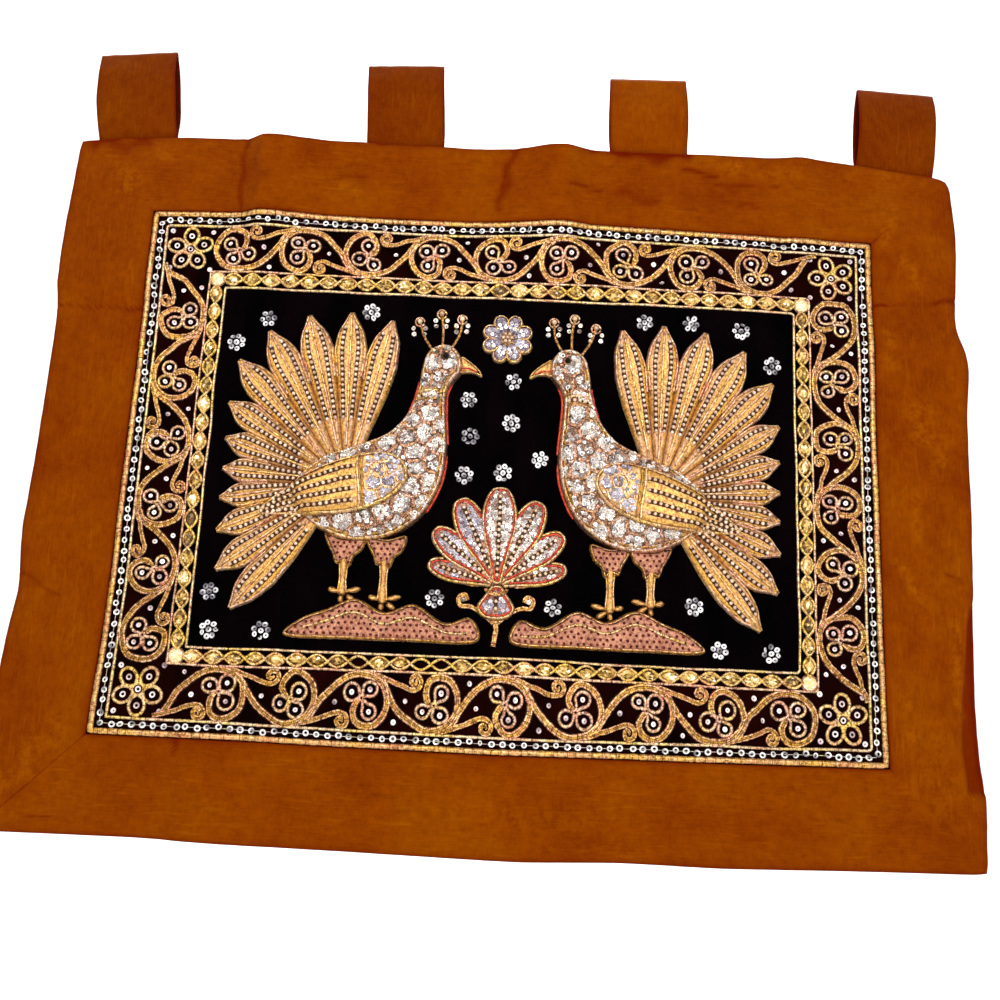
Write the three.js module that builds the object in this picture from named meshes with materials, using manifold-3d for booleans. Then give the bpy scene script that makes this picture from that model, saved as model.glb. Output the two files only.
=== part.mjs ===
// Sequin-embroidered wall hanging: a black velvet panel with a couched-cord frame and padded
// birds, in a mitred border of four silk strips, hung by four cloth loops.
// Millimetres. +X to the right, +Z up, the front faces -Y. The origin lies on the hanging line,
// which runs through the four loops at mid width.
import * as THREE from "three";
import { mergeVertices } from "three/addons/utils/BufferGeometryUtils.js";
import Module from "manifold-3d";

const wasm = await Module();
wasm.setup();

// Driving dimensions. Everything is drawn round the middle of the panel and lowered at the end.
const GAP = 0.3; // between two pieces that touch
const PANEL = { halfX: 240, halfZ: 170.5, thick: 1.6 };
const CLOTH = { halfX: 296, halfZ: 230, thick: 2.4 };
const FIELD = { halfX: 185.5, halfZ: 114.5 }; // the plain middle, which lies flat
const HANG_LINE = { y: 5.5, z: 272 }; // from the middle of the panel's front to the hanging line
const STEP = 20; // spacing of the sheets' mesh lines
const STRIP_ROWS = 4; // mesh lines across a border strip
const FULL_FOLD = 0.75; // share of the way from the field to the cloth's edge where folds are full
const MITRE_GAP = 0.75 * GAP; // how far each strip stops short of the mitre line, along its side
const CORD_LIFT = 1.5 * GAP; // from the panel's faceted front to the back of a cord
const DEEP = 20; // depth of the blocks that cut other pieces: more than any padded piece has

const COLOUR = {
  silk: 0x8f3f05,
  velvet: 0x07060a,
  goldCord: 0xd69a38,
  paleCord: 0xe2cf8e,
  sequins: 0xd9cbc6,
  beadwork: 0xc98f45,
  plume: 0xc79a86,
  satin: 0xdd8a6c,
  lilac: 0xb9aec4,
};

// Creases left by folding and hanging. edge: the side whose border they cross. at: place along
// that side. lift: how far the cloth stands forward. before, after: reach on the side of the
// lower and of the higher coordinate.
const FOLDS = [
  { edge: "top", at: -168, lift: 8, before: 10, after: 32 },
  { edge: "top", at: 32, lift: 8, before: 26, after: 15 },
  { edge: "top", at: 192, lift: 3, before: 9, after: 14 },
  { edge: "left", at: 116, lift: 2.5, before: 9, after: 24 },
  { edge: "left", at: -95, lift: -4, before: 60, after: 40 },
  { edge: "right", at: 96, lift: 4, before: 36, after: 14 },
  { edge: "right", at: -130, lift: -4, before: 45, after: 60 },
  { edge: "bottom", at: -178, lift: 2.5, before: 8, after: 30 },
  { edge: "bottom", at: 20, lift: 4, before: 70, after: 60 },
  { edge: "bottom", at: 225, lift: -3, before: 50, after: 40 },
];

// How far the cut edge wanders outside (+) or inside (-) its straight line.
// at: place along the side. out: distance outwards.
const WANDER = {
  top: [
    { at: -296, out: -10 },
    { at: -262, out: -6 },
    { at: -215, out: -4 },
    { at: -106, out: -2 },
    { at: -24, out: -3 },
    { at: 60, out: 0 },
    { at: 130, out: 1 },
    { at: 208, out: 0 },
    { at: 240, out: -3 },
    { at: 296, out: -10 },
  ],
  bottom: [
    { at: -296, out: -2 },
    { at: -200, out: -2 },
    { at: -140, out: 0 },
    { at: 20, out: 2 },
    { at: 80, out: 0 },
    { at: 140, out: 1 },
    { at: 296, out: -2 },
  ],
  left: [
    { at: -230, out: 3 },
    { at: -118, out: 3 },
    { at: -82, out: -1 },
    { at: -50, out: 1 },
    { at: 0, out: -1 },
    { at: 95, out: -2 },
    { at: 150, out: 2 },
    { at: 230, out: -1 },
  ],
  right: [
    { at: -230, out: -1 },
    { at: -196, out: 0 },
    { at: -184, out: 1 },
    { at: -172, out: -1 },
    { at: -60, out: 0 },
    { at: 63, out: 2 },
    { at: 92, out: 4 },
    { at: 118, out: -3 },
    { at: 147, out: -1 },
    { at: 185, out: 2 },
    { at: 230, out: -1 },
  ],
};

// Hanging loops. x: middle of the foot. lean: degrees that the top leans to the left.
// rise: height over the cloth's edge. front, back: how far each layer bellies out.
const TAB = { width: 53, thick: 1.7, tuck: 16 };
const TABS = [
  { name: "tab_1", x: -258, lean: 6, rise: 66, front: 8, back: 9 },
  { name: "tab_2", x: -75.5, lean: 3, rise: 62, front: 5, back: 7 },
  { name: "tab_3", x: 91, lean: 1, rise: 56, front: 5, back: 7 },
  { name: "tab_4", x: 259, lean: -3, rise: 60, front: 8, back: 9 },
];

// Couched cords that run round the panel. inset: from the panel's edge to the cord's middle.
const CORD_FRAMES = [
  { name: "edge_cord", inset: 2.9, width: 4.6, height: 2.2, colour: COLOUR.goldCord },
  { name: "rail_cord", inset: 12.4, width: 2.4, height: 1.5, colour: COLOUR.paleCord },
  { name: "band_cord_outer", inset: 42.6, width: 2, height: 1.3, colour: COLOUR.goldCord },
  { name: "band_cord_inner", inset: 54.6, width: 2.2, height: 1.4, colour: COLOUR.paleCord },
];

// Padded pieces of the right-hand bird, which looks left; the left-hand one is its mirror image.
// Each outline is a closed smooth line through its rows, x and z from the middle of the panel.
const BODY = [
  { x: 29, z: 64 },
  { x: 28, z: 72 },
  { x: 33, z: 81 },
  { x: 42, z: 83.5 },
  { x: 51, z: 78 },
  { x: 54.5, z: 67 },
  { x: 56, z: 54 },
  { x: 61, z: 38 },
  { x: 72, z: 24 },
  { x: 90, z: 15 },
  { x: 110, z: 7 },
  { x: 126, z: -6 },
  { x: 129, z: -22 },
  { x: 117, z: -38 },
  { x: 94, z: -48 },
  { x: 69, z: -45 },
  { x: 49, z: -31 },
  { x: 38, z: -10 },
  { x: 35, z: 12 },
  { x: 36.5, z: 34 },
  { x: 37, z: 50 },
  { x: 33.5, z: 58 },
];
const WING = [
  { x: 58, z: -8 },
  { x: 62, z: 4 },
  { x: 76, z: 8.5 },
  { x: 98, z: 4 },
  { x: 118, z: -5 },
  { x: 137, z: -17 },
  { x: 152, z: -33 },
  { x: 134, z: -34 },
  { x: 112, z: -34 },
  { x: 90, z: -31 },
  { x: 69, z: -22 },
];
// Tail plumes. turn: direction from the rump, degrees up from +X. reach: length. wide: breadth.
const RUMP = { x: 98, z: -10 };
const PLUMES = [
  { turn: 102, reach: 111, wide: 22 },
  { turn: 88, reach: 113, wide: 23 },
  { turn: 74, reach: 114, wide: 24 },
  { turn: 60, reach: 113, wide: 24 },
  { turn: 46, reach: 107, wide: 23 },
  { turn: 32, reach: 92, wide: 21 },
  { turn: 18, reach: 82, wide: 20 },
  { turn: 4, reach: 78, wide: 19 },
  { turn: -10, reach: 79, wide: 19 },
  { turn: -24, reach: 85, wide: 20 },
  { turn: -38, reach: 96, wide: 21 },
  { turn: -52, reach: 105, wide: 21 },
];
// Half of the breadth of a plume or petal along its length, as shares of its full half breadth.
const LEAF = [
  { along: 0, half: 0.25 },
  { along: 0.3, half: 0.55 },
  { along: 0.55, half: 0.92 },
  { along: 0.72, half: 1 },
  { along: 0.9, half: 0.72 },
  { along: 1, half: 0.3 },
];
// The lotus in the middle: its petals, and the calyx below them, point away from one root.
const BLOOM = { x: 0, z: -72 };
const PETALS = [
  { turn: 90, reach: 63, wide: 25 },
  { turn: 65, reach: 60, wide: 23 },
  { turn: 115, reach: 60, wide: 23 },
  { turn: 40, reach: 53, wide: 20 },
  { turn: 140, reach: 53, wide: 20 },
  { turn: 16, reach: 45, wide: 16 },
  { turn: 164, reach: 45, wide: 16 },
  { turn: -90, reach: 22, wide: 26 },
];
// The round flower over it. petals: how many, evenly turned.
const ROSETTE = { x: 0, z: 89, petals: 8, reach: 17, wide: 11.5 };
const BANK = [
  { x: 11, z: -108 },
  { x: 15, z: -93 },
  { x: 31, z: -97 },
  { x: 50, z: -86 },
  { x: 68, z: -92 },
  { x: 86, z: -84 },
  { x: 103, z: -91 },
  { x: 118, z: -97 },
  { x: 128, z: -108 },
  { x: 90, z: -109 },
  { x: 50, z: -109 },
];
// Heights of the padded pieces over the velvet, and how their shoulders round off.
const PAD = {
  body: { high: 9, round: 5, inset: 5, steps: 3 },
  wing: { high: 11, round: 3.5, inset: 2.6, steps: 2 },
  plume: { high: 4, round: 2, inset: 1.5, steps: 1 },
  petal: { high: 5, round: 2.5, inset: 1.5, steps: 1 },
  rosette: { high: 3.4, round: 1.6, inset: 1, steps: 1 },
  bank: { high: 4, round: 2, inset: 1.6, steps: 1 },
};
const CLEAR = 1.02; // how much larger a padded piece's bed is cut in the piece below

const clamp = THREE.MathUtils.clamp;
const smooth = (t) => THREE.MathUtils.smoothstep(t, 0, 1);

// The straight-line value of a table of { at, out } rows at a place along the side.
function wander(side, at) {
  const rows = WANDER[side];
  const last = rows.length - 1;
  const i = clamp(rows.findIndex((row) => row.at > at) - 1, 0, last - 1);
  const from = at >= rows[last].at ? last - 1 : i;
  const share = clamp((at - rows[from].at) / (rows[from + 1].at - rows[from].at), 0, 1);
  return THREE.MathUtils.lerp(rows[from].out, rows[from + 1].out, share);
}

// How much of a side's creases a point feels: none in the field, all at the cloth's edge.
function sideShare(edge, x, z) {
  const upright = edge === "top" || edge === "bottom";
  const sign = edge === "top" || edge === "right" ? 1 : -1;
  const far = sign * (upright ? z : x);
  const field = upright ? FIELD.halfZ : FIELD.halfX;
  const cloth = upright ? CLOTH.halfZ : CLOTH.halfX;
  return smooth((far - field) / (FULL_FOLD * (cloth - field)));
}

// How far the cloth's front stands back (+Y) from the plane of the field.
function relief(x, z) {
  let y = 0;
  for (const fold of FOLDS) {
    const along = fold.edge === "top" || fold.edge === "bottom" ? x : z;
    const away = along - fold.at;
    const reach = away < 0 ? fold.before : fold.after;
    y -= fold.lift * Math.exp(-((away / reach) ** 2)) * sideShare(fold.edge, x, z);
  }
  return y;
}

const stations = (half) => {
  const count = 2 * Math.ceil(half / STEP);
  return Array.from({ length: count + 1 }, (_, i) => -half + (2 * half * i) / count);
};
const COLUMNS = stations(PANEL.halfX);
const ROWS = stations(PANEL.halfZ);

// The height of the panel's faceted front: the same two triangles a cell as its mesh has.
function facetAt(x, z) {
  const cell = (lines, v) => {
    const i = clamp(lines.findIndex((line) => line > v) - 1, 0, lines.length - 2);
    return v >= lines[lines.length - 1] ? lines.length - 2 : i;
  };
  const i = cell(COLUMNS, x);
  const j = cell(ROWS, z);
  const [x0, x1, z0, z1] = [COLUMNS[i], COLUMNS[i + 1], ROWS[j], ROWS[j + 1]];
  const u = (x - x0) / (x1 - x0);
  const v = (z - z0) / (z1 - z0);
  const [a, b, c, d] = [relief(x0, z0), relief(x1, z0), relief(x1, z1), relief(x0, z1)];
  return u >= v ? a + u * (b - a) + v * (c - b) : a + u * (c - d) + v * (d - a);
}

// A closed sheet: rows of front points {x, y, z}, and the same points moved back by thick.
function sheet(grid, thick) {
  const rows = grid.length;
  const columns = grid[0].length;
  const front = (j, i) => j * columns + i;
  const back = (j, i) => rows * columns + j * columns + i;
  const flat = grid.flat();
  const position = [
    ...flat.flatMap((p) => [p.x, p.y, p.z]),
    ...flat.flatMap((p) => [p.x, p.y + thick, p.z]),
  ];
  const index = [];
  const wall = (a, b, c, d) => index.push(a, b, c, a, c, d);
  for (let j = 0; j < rows - 1; j++) {
    for (let i = 0; i < columns - 1; i++) {
      wall(front(j, i), front(j, i + 1), front(j + 1, i + 1), front(j + 1, i));
      index.push(back(j, i), back(j + 1, i + 1), back(j, i + 1));
      index.push(back(j, i), back(j + 1, i), back(j + 1, i + 1));
    }
    wall(front(j, 0), front(j + 1, 0), back(j + 1, 0), back(j, 0));
    const e = columns - 1;
    wall(front(j + 1, e), front(j, e), back(j, e), back(j + 1, e));
  }
  for (let i = 0; i < columns - 1; i++) {
    wall(front(0, i + 1), front(0, i), back(0, i), back(0, i + 1));
    const e = rows - 1;
    wall(front(e, i), front(e, i + 1), back(e, i + 1), back(e, i));
  }
  const geometry = new THREE.BufferGeometry();
  geometry.setAttribute("position", new THREE.Float32BufferAttribute(position, 3));
  geometry.setIndex(index);
  return geometry;
}

const onCloth = (x, z) => ({ x, y: relief(x, z), z });

function panelGeometry() {
  const trim = GAP / 2;
  const grid = ROWS.map((z) =>
    COLUMNS.map((x) => {
      const inX = clamp(x, -PANEL.halfX + trim, PANEL.halfX - trim);
      const inZ = clamp(z, -PANEL.halfZ + trim, PANEL.halfZ - trim);
      return onCloth(inX, inZ);
    }),
  );
  return sheet(grid, PANEL.thick);
}

// One mitred border strip. It runs along the side; its ends follow the mitre lines.
function stripGeometry(side) {
  const upright = side === "top" || side === "bottom";
  const sign = side === "top" || side === "right" ? 1 : -1;
  const lines = upright ? COLUMNS : ROWS;
  const panelFar = (upright ? PANEL.halfZ : PANEL.halfX) + GAP / 2;
  const panelAlong = upright ? PANEL.halfX : PANEL.halfZ;
  const clothFar = upright ? CLOTH.halfZ : CLOTH.halfX;
  const clothAlong = upright ? CLOTH.halfX : CLOTH.halfZ;
  // the outer ends sit at the corners, where the two sides' wanderings meet
  const corner = (end) => {
    const across = upright ? (end > 0 ? "right" : "left") : end > 0 ? "top" : "bottom";
    return end * (clothAlong + wander(across, sign * clothFar));
  };
  const grid = [];
  for (let j = 0; j <= STRIP_ROWS; j++) {
    const share = j / STRIP_ROWS;
    grid.push(
      lines.map((line) => {
        const t = (line + panelAlong) / (2 * panelAlong);
        const outerAlong = THREE.MathUtils.lerp(corner(-1), corner(1), t);
        const outerFar = clothFar + wander(side, outerAlong);
        const end = clamp(t * 2 - 1, -1, 1);
        const short = Math.abs(end) === 1 ? end * MITRE_GAP : 0;
        const along = THREE.MathUtils.lerp(line, outerAlong, share) - short;
        const far = sign * THREE.MathUtils.lerp(panelFar, outerFar, share);
        return upright ? onCloth(along, far) : onCloth(far, along);
      }),
    );
  }
  // the front must face -Y whichever way the side runs
  const flip = side === "top" || side === "left" ? grid : grid.slice().reverse();
  return sheet(flip, CLOTH.thick);
}

// A flat-bottomed cord that runs round the panel, laid on its faceted front.
function cordFrameGeometry({ inset, width, height }) {
  const profile = [
    { across: -0.5, up: 0 },
    { across: -0.3, up: 1 },
    { across: 0.3, up: 1 },
    { across: 0.5, up: 0 },
  ];
  const halfX = PANEL.halfX - inset;
  const halfZ = PANEL.halfZ - inset;
  const inside = (lines, half) => lines.filter((line) => Math.abs(line) < half - width);
  const path = [
    ...[-halfX, ...inside(COLUMNS, halfX)].map((x) => ({ x, z: -halfZ, nx: 0, nz: -1 })),
    ...[-halfZ, ...inside(ROWS, halfZ)].map((z) => ({ x: halfX, z, nx: 1, nz: 0 })),
    ...[halfX, ...inside(COLUMNS, halfX).reverse()].map((x) => ({ x, z: halfZ, nx: 0, nz: 1 })),
    ...[halfZ, ...inside(ROWS, halfZ).reverse()].map((z) => ({ x: -halfX, z, nx: -1, nz: 0 })),
  ];
  for (const p of path) {
    if (Math.abs(p.x) === halfX && Math.abs(p.z) === halfZ) {
      p.nx = Math.sign(p.x); // a mitred corner
      p.nz = Math.sign(p.z);
    }
  }
  const position = path.flatMap((p) =>
    profile.flatMap(({ across, up }) => {
      const x = p.x + p.nx * across * width;
      const z = p.z + p.nz * across * width;
      return [x, facetAt(x, z) - CORD_LIFT - up * height, z];
    }),
  );
  const n = profile.length;
  const index = [];
  for (let i = 0; i < path.length; i++) {
    for (let k = 0; k < n; k++) {
      const a = i * n + k;
      const b = i * n + ((k + 1) % n);
      const c = ((i + 1) % path.length) * n + ((k + 1) % n);
      const d = ((i + 1) % path.length) * n + k;
      index.push(a, b, c, a, c, d);
    }
  }
  const geometry = new THREE.BufferGeometry();
  geometry.setAttribute("position", new THREE.Float32BufferAttribute(position, 3));
  geometry.setIndex(index);
  return geometry;
}

// A loop of cloth: its cross-section runs up the front, over the top and down the back, and
// both ends meet behind the border's top edge. Drawn with Z up from the foot of the loop.
function tabGeometry({ rise, front, back }) {
  const behind = CLOTH.thick + GAP; // the tuck lies against the back of the border
  const t = TAB.thick;
  const outer = new THREE.Shape();
  outer.moveTo(behind, -TAB.tuck);
  outer.lineTo(behind, 1);
  outer.quadraticCurveTo(behind - 2 * front, rise / 2, behind + 0.3 * t, rise - t);
  outer.lineTo(behind + t, rise);
  outer.lineTo(behind + 1.7 * t, rise - t);
  outer.quadraticCurveTo(behind + 2 * t + 2 * back, rise / 2, behind + 2 * t, 1);
  outer.lineTo(behind + 2 * t, -TAB.tuck);
  const inner = new THREE.Shape();
  inner.moveTo(behind + t, 2);
  inner.quadraticCurveTo(behind + 2 * t - 2 * front, rise / 2, behind + t, rise - 2 * t);
  inner.quadraticCurveTo(behind + 2 * back, rise / 2, behind + t, 2);
  return geometryFrom(across(outer, TAB.width).subtract(across(inner, 2 * TAB.width)));
}

// A shape drawn in Y and Z, extruded along X and centred on it.
function across(shape, width) {
  const geometry = new THREE.ExtrudeGeometry(shape, { depth: width, bevelEnabled: false, curveSegments: 8 });
  geometry.translate(0, 0, -width / 2);
  geometry.applyMatrix4(new THREE.Matrix4().set(0, 0, 1, 0, 1, 0, 0, 0, 0, 1, 0, 0, 0, 0, 0, 1));
  return solidFrom(geometry);
}

function solidFrom(geometry) {
  const bare = geometry.clone();
  bare.deleteAttribute("normal");
  bare.deleteAttribute("uv");
  const merged = mergeVertices(bare, 1e-4);
  return new wasm.Manifold(
    new wasm.Mesh({
      numProp: 3,
      vertProperties: merged.attributes.position.array,
      triVerts: new Uint32Array(merged.index.array),
    }),
  );
}

function geometryFrom(solid) {
  const mesh = solid.getMesh();
  const geometry = new THREE.BufferGeometry();
  geometry.setAttribute("position", new THREE.BufferAttribute(mesh.vertProperties, 3));
  geometry.setIndex(new THREE.BufferAttribute(mesh.triVerts, 1));
  return geometry;
}

// The room in front of the velvet, as a large block.
const inFront = (() => {
  const block = new THREE.BoxGeometry(2 * PANEL.halfX, DEEP, 2 * PANEL.halfZ);
  block.translate(0, -GAP - DEEP / 2, 0);
  return solidFrom(block);
})();

// A padded piece: the outline stands on the velvet and its shoulders round off to the front.
function pad(points, { high, round, inset, steps }) {
  const geometry = new THREE.ExtrudeGeometry(new THREE.Shape(points), {
    depth: high - round,
    bevelThickness: round,
    bevelSize: inset,
    bevelOffset: -inset,
    bevelSegments: steps,
  });
  geometry.rotateX(Math.PI / 2); // drawn upright, extruded towards -Y
  return solidFrom(geometry).intersect(inFront);
}

// A closed smooth line through a table's rows, two short straight pieces for each row.
function smoothOutline(table, mirror) {
  const points = table.map(({ x, z }) => new THREE.Vector3(mirror * x, z, 0));
  const curve = new THREE.CatmullRomCurve3(points, true, "centripetal");
  const spaced = curve.getSpacedPoints(2 * table.length).slice(0, -1);
  return spaced.map((p) => new THREE.Vector2(p.x, p.y));
}

// One plume or petal: a leaf that starts at root and points in the direction turn.
function leafOutline({ turn, reach, wide }, root, mirror) {
  const angle = THREE.MathUtils.degToRad(turn);
  const at = (along, side) => {
    const x = root.x + reach * along * Math.cos(angle) - side * Math.sin(angle);
    const z = root.z + reach * along * Math.sin(angle) + side * Math.cos(angle);
    return new THREE.Vector2(mirror * x, z);
  };
  const right = LEAF.map(({ along, half }) => at(along, (-half * wide) / 2));
  const left = LEAF.map(({ along, half }) => at(along, (half * wide) / 2)).reverse();
  return [...right, ...left];
}

const joined = (solids) => solids.reduce((sum, solid) => sum.add(solid));

// The outline's own bed, a little larger, to cut out of a piece that it lies in.
function bedOf(points) {
  const middle = points.reduce((sum, p) => sum.add(p), new THREE.Vector2()).divideScalar(points.length);
  const grown = points.map((p) => p.clone().sub(middle).multiplyScalar(CLEAR).add(middle));
  const block = new THREE.ExtrudeGeometry(new THREE.Shape(grown), { depth: DEEP, bevelEnabled: false });
  block.rotateX(Math.PI / 2);
  return solidFrom(block);
}

const part = new THREE.Group();
part.position.set(0, -HANG_LINE.y, -HANG_LINE.z);

function add(name, geometry, colour, roughness, metalness = 0) {
  const flat = geometry.index ? geometry.toNonIndexed() : geometry;
  flat.computeVertexNormals();
  const material = new THREE.MeshStandardMaterial({ color: colour, roughness, metalness });
  const mesh = new THREE.Mesh(flat, material);
  mesh.name = name;
  part.add(mesh);
  return mesh;
}

function addCloth() {
  add("velvet_panel", panelGeometry(), COLOUR.velvet, 0.95);
  for (const side of ["top", "bottom", "left", "right"]) {
    add(`border_${side}`, stripGeometry(side), COLOUR.silk, 0.6);
  }
}

function addTabs() {
  for (const tab of TABS) {
    const mesh = add(tab.name, tabGeometry(tab), COLOUR.silk, 0.6);
    mesh.position.set(tab.x, 0, CLOTH.halfZ + wander("top", tab.x));
    mesh.rotation.y = THREE.MathUtils.degToRad(-tab.lean);
  }
}

function addCordFrames() {
  for (const frame of CORD_FRAMES) {
    add(frame.name, cordFrameGeometry(frame), frame.colour, 0.4, 0.6);
  }
}

function addBird(side, mirror) {
  const bodyLine = smoothOutline(BODY, mirror);
  const wingLine = smoothOutline(WING, mirror);
  const wingBed = bedOf(wingLine);
  const bodyBed = bedOf(bodyLine);
  const plumes = joined(PLUMES.map((plume) => pad(leafOutline(plume, RUMP, mirror), PAD.plume)));
  const body = pad(bodyLine, PAD.body).subtract(wingBed);
  add(`bird_${side}_body`, geometryFrom(body), COLOUR.sequins, 0.3, 0.5);
  add(`bird_${side}_wing`, geometryFrom(pad(wingLine, PAD.wing)), COLOUR.beadwork, 0.4, 0.5);
  const tail = plumes.subtract(bodyBed).subtract(wingBed);
  add(`bird_${side}_tail`, geometryFrom(tail), COLOUR.plume, 0.4, 0.4);
  const bank = pad(smoothOutline(BANK, mirror), PAD.bank);
  add(`bank_${side}`, geometryFrom(bank), COLOUR.satin, 0.5);
}

function addFlowers() {
  const petals = joined(PETALS.map((petal) => pad(leafOutline(petal, BLOOM, 1), PAD.petal)));
  add("bloom", geometryFrom(petals), COLOUR.sequins, 0.3, 0.5);
  const turns = Array.from({ length: ROSETTE.petals }, (_, i) => (360 * i) / ROSETTE.petals);
  const ring = turns.map((turn) => pad(leafOutline({ ...ROSETTE, turn }, ROSETTE, 1), PAD.rosette));
  add("rosette", geometryFrom(joined(ring)), COLOUR.lilac, 0.3, 0.5);
}

addCloth();
addTabs();
addCordFrames();
addBird("right", 1);
addBird("left", -1);
addFlowers();

export default part;
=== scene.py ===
import math

import bpy
import numpy as np
from mathutils import Matrix, Vector
from mathutils.geometry import delaunay_2d_cdt


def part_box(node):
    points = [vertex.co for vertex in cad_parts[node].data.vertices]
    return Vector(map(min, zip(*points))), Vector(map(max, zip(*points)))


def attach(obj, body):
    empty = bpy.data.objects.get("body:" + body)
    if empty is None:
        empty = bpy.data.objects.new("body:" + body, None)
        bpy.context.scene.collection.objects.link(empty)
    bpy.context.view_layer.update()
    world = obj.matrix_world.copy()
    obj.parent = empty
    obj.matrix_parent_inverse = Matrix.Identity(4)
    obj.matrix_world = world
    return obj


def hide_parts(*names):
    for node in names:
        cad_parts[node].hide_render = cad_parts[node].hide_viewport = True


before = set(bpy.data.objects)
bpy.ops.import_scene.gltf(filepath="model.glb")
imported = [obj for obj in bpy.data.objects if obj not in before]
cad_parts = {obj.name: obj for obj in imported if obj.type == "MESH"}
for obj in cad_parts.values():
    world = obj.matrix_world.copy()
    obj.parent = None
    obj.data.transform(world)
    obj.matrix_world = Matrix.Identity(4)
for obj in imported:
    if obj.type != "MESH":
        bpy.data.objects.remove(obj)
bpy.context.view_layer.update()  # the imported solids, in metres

# ----------------------------------------
# Frame and sizes. Shapes are drawn flat in millimetres: x to the right, z up from the middle of
# the panel, and out, which is the distance in front of the cloth. to_world() lays them on the
# cloth as it hangs and turns them into metres.
MM = 0.001
GAP = 0.3  # between pieces that are sewn together
PANEL_LOW, PANEL_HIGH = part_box("velvet_panel")
MID_Z = (PANEL_LOW.z + PANEL_HIGH.z) / 2
FRONT_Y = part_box("bloom")[1].y + GAP * MM  # the plane of the flat middle field

PANEL_X, PANEL_Z = 240, 170.5  # half sizes of the velvet panel
CLOTH_X, CLOTH_Z = 296, 230  # half sizes of the whole cloth
FIELD_X, FIELD_Z = 185.5, 114.5  # half sizes of the plain middle field
SHEET_STEP = 4  # spacing of the cloth's mesh lines
HEM_LINES = [12.6, 11.2, 9.8, 8.4, 7, 5.6, 4.4, 3.3, 2.3, 1.5, 0.8, 0.4, 0.1, 0]  # mm from the cut edge
VELVET_THICK = 1.4
SILK_THICK = 2.2
HEM_WIDTH = 14
MITRE_SLANT = 1.45  # a distance along a strip, over the distance to its mitre
CORNER_REACH = 9  # how far from a corner of the cloth its rounding begins
PANEL_OVERLAP = 0.4  # how far the strips lie over the panel

# edge, place along it, lift towards the front, reach on the lower and on the higher side
FOLDS = [
    ("top", -168, 8, 10, 32),
    ("top", 32, 8, 26, 15),
    ("top", 192, 3, 9, 14),
    ("left", 116, 2.5, 9, 24),
    ("left", -95, -4, 60, 40),
    ("right", 96, 4, 36, 14),
    ("right", -130, -4, 45, 60),
    ("bottom", -178, 2.5, 8, 30),
    ("bottom", 20, 4, 70, 60),
    ("bottom", 225, -3, 50, 40),
]
# creases in the silk border: one end, other end, half width, depth, shade
WRINKLES = [
    (-1, 230, -10, 180, 3.0, 0.9, 0.7),
    (-6, 214, -9, 188, 1.3, 0.4, 0.9),
    (-183, 230, -183, 173, 2.0, 0.8, 0.7),
    (54, 230.5, 116, 229, 4.4, 0.5, 0.95),
    (78, 227.5, 102, 226, 4.2, 0.3, 0.8),
    (38, 199, 58, 197.5, 1.4, 0.5, 0.75),
    (114, 218, 137, 214.5, 1.8, 0.6, 0.85),
    (137, 208, 178, 208.7, 1.2, 0.4, 0.6),
    (70, 197, 96, 190, 3.6, 0.6, 0.5),
    (152, 193, 165, 191.5, 1.8, 0.4, 0.7),
    (-284, 219, -250, 218, 6.0, 0.4, 0.65),
    (-118, 199.5, -102, 201.5, 2.2, 0.4, 0.4),
    (-60, 229.5, -92, 228, 2.5, 0.3, 0.3),
    (241, 125.5, 250, 126, 1.3, 0.9, 0.95),
    (250, 126, 281, 129, 1.0, 0.8, 0.3),
    (281, 129, 294, 131, 1.7, 0.9, 0.8),
    (253, 70, 250, 30, 5.0, 0.6, 0.0),
    (246, 8, 262, -30, 4.5, 0.7, 0.0),
    (280, -52, 289, -56, 1.5, 0.6, 0.6),
    (262, -64, 255, -100, 3.5, -0.8, 0.0),
    (246, 97, 255, 66, 2.5, -0.8, 0.0),
    (274, -110, 279, -158, 2.2, -0.9, 0.0),
    (241.5, 171, 252, 181, 0.9, 0.3, 0.7),
    (-295, 99.5, -250, 100, 1.0, 0.5, 0.6),
    (-249, 98.6, -241, 99.6, 1.3, 0.5, 0.95),
    (-293, -76, -269, -90, 1.2, 0.6, 0.45),
    (-293, -125, -285, -168, 7.0, 0.8, 0.0),
    (-186.5, -172, -187, -178, 2.0, 0.4, 0.8),
    (-270, -219, -254, -218.5, 0.8, 0.3, 0.5),
    (58, -218.8, 68, -218.5, 0.8, 0.3, 0.5),
    (150, -215, 166, -214, 0.9, 0.4, 0.6),
    (171, -181.5, 181, -183, 1.2, 0.4, 0.5),
]
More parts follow.
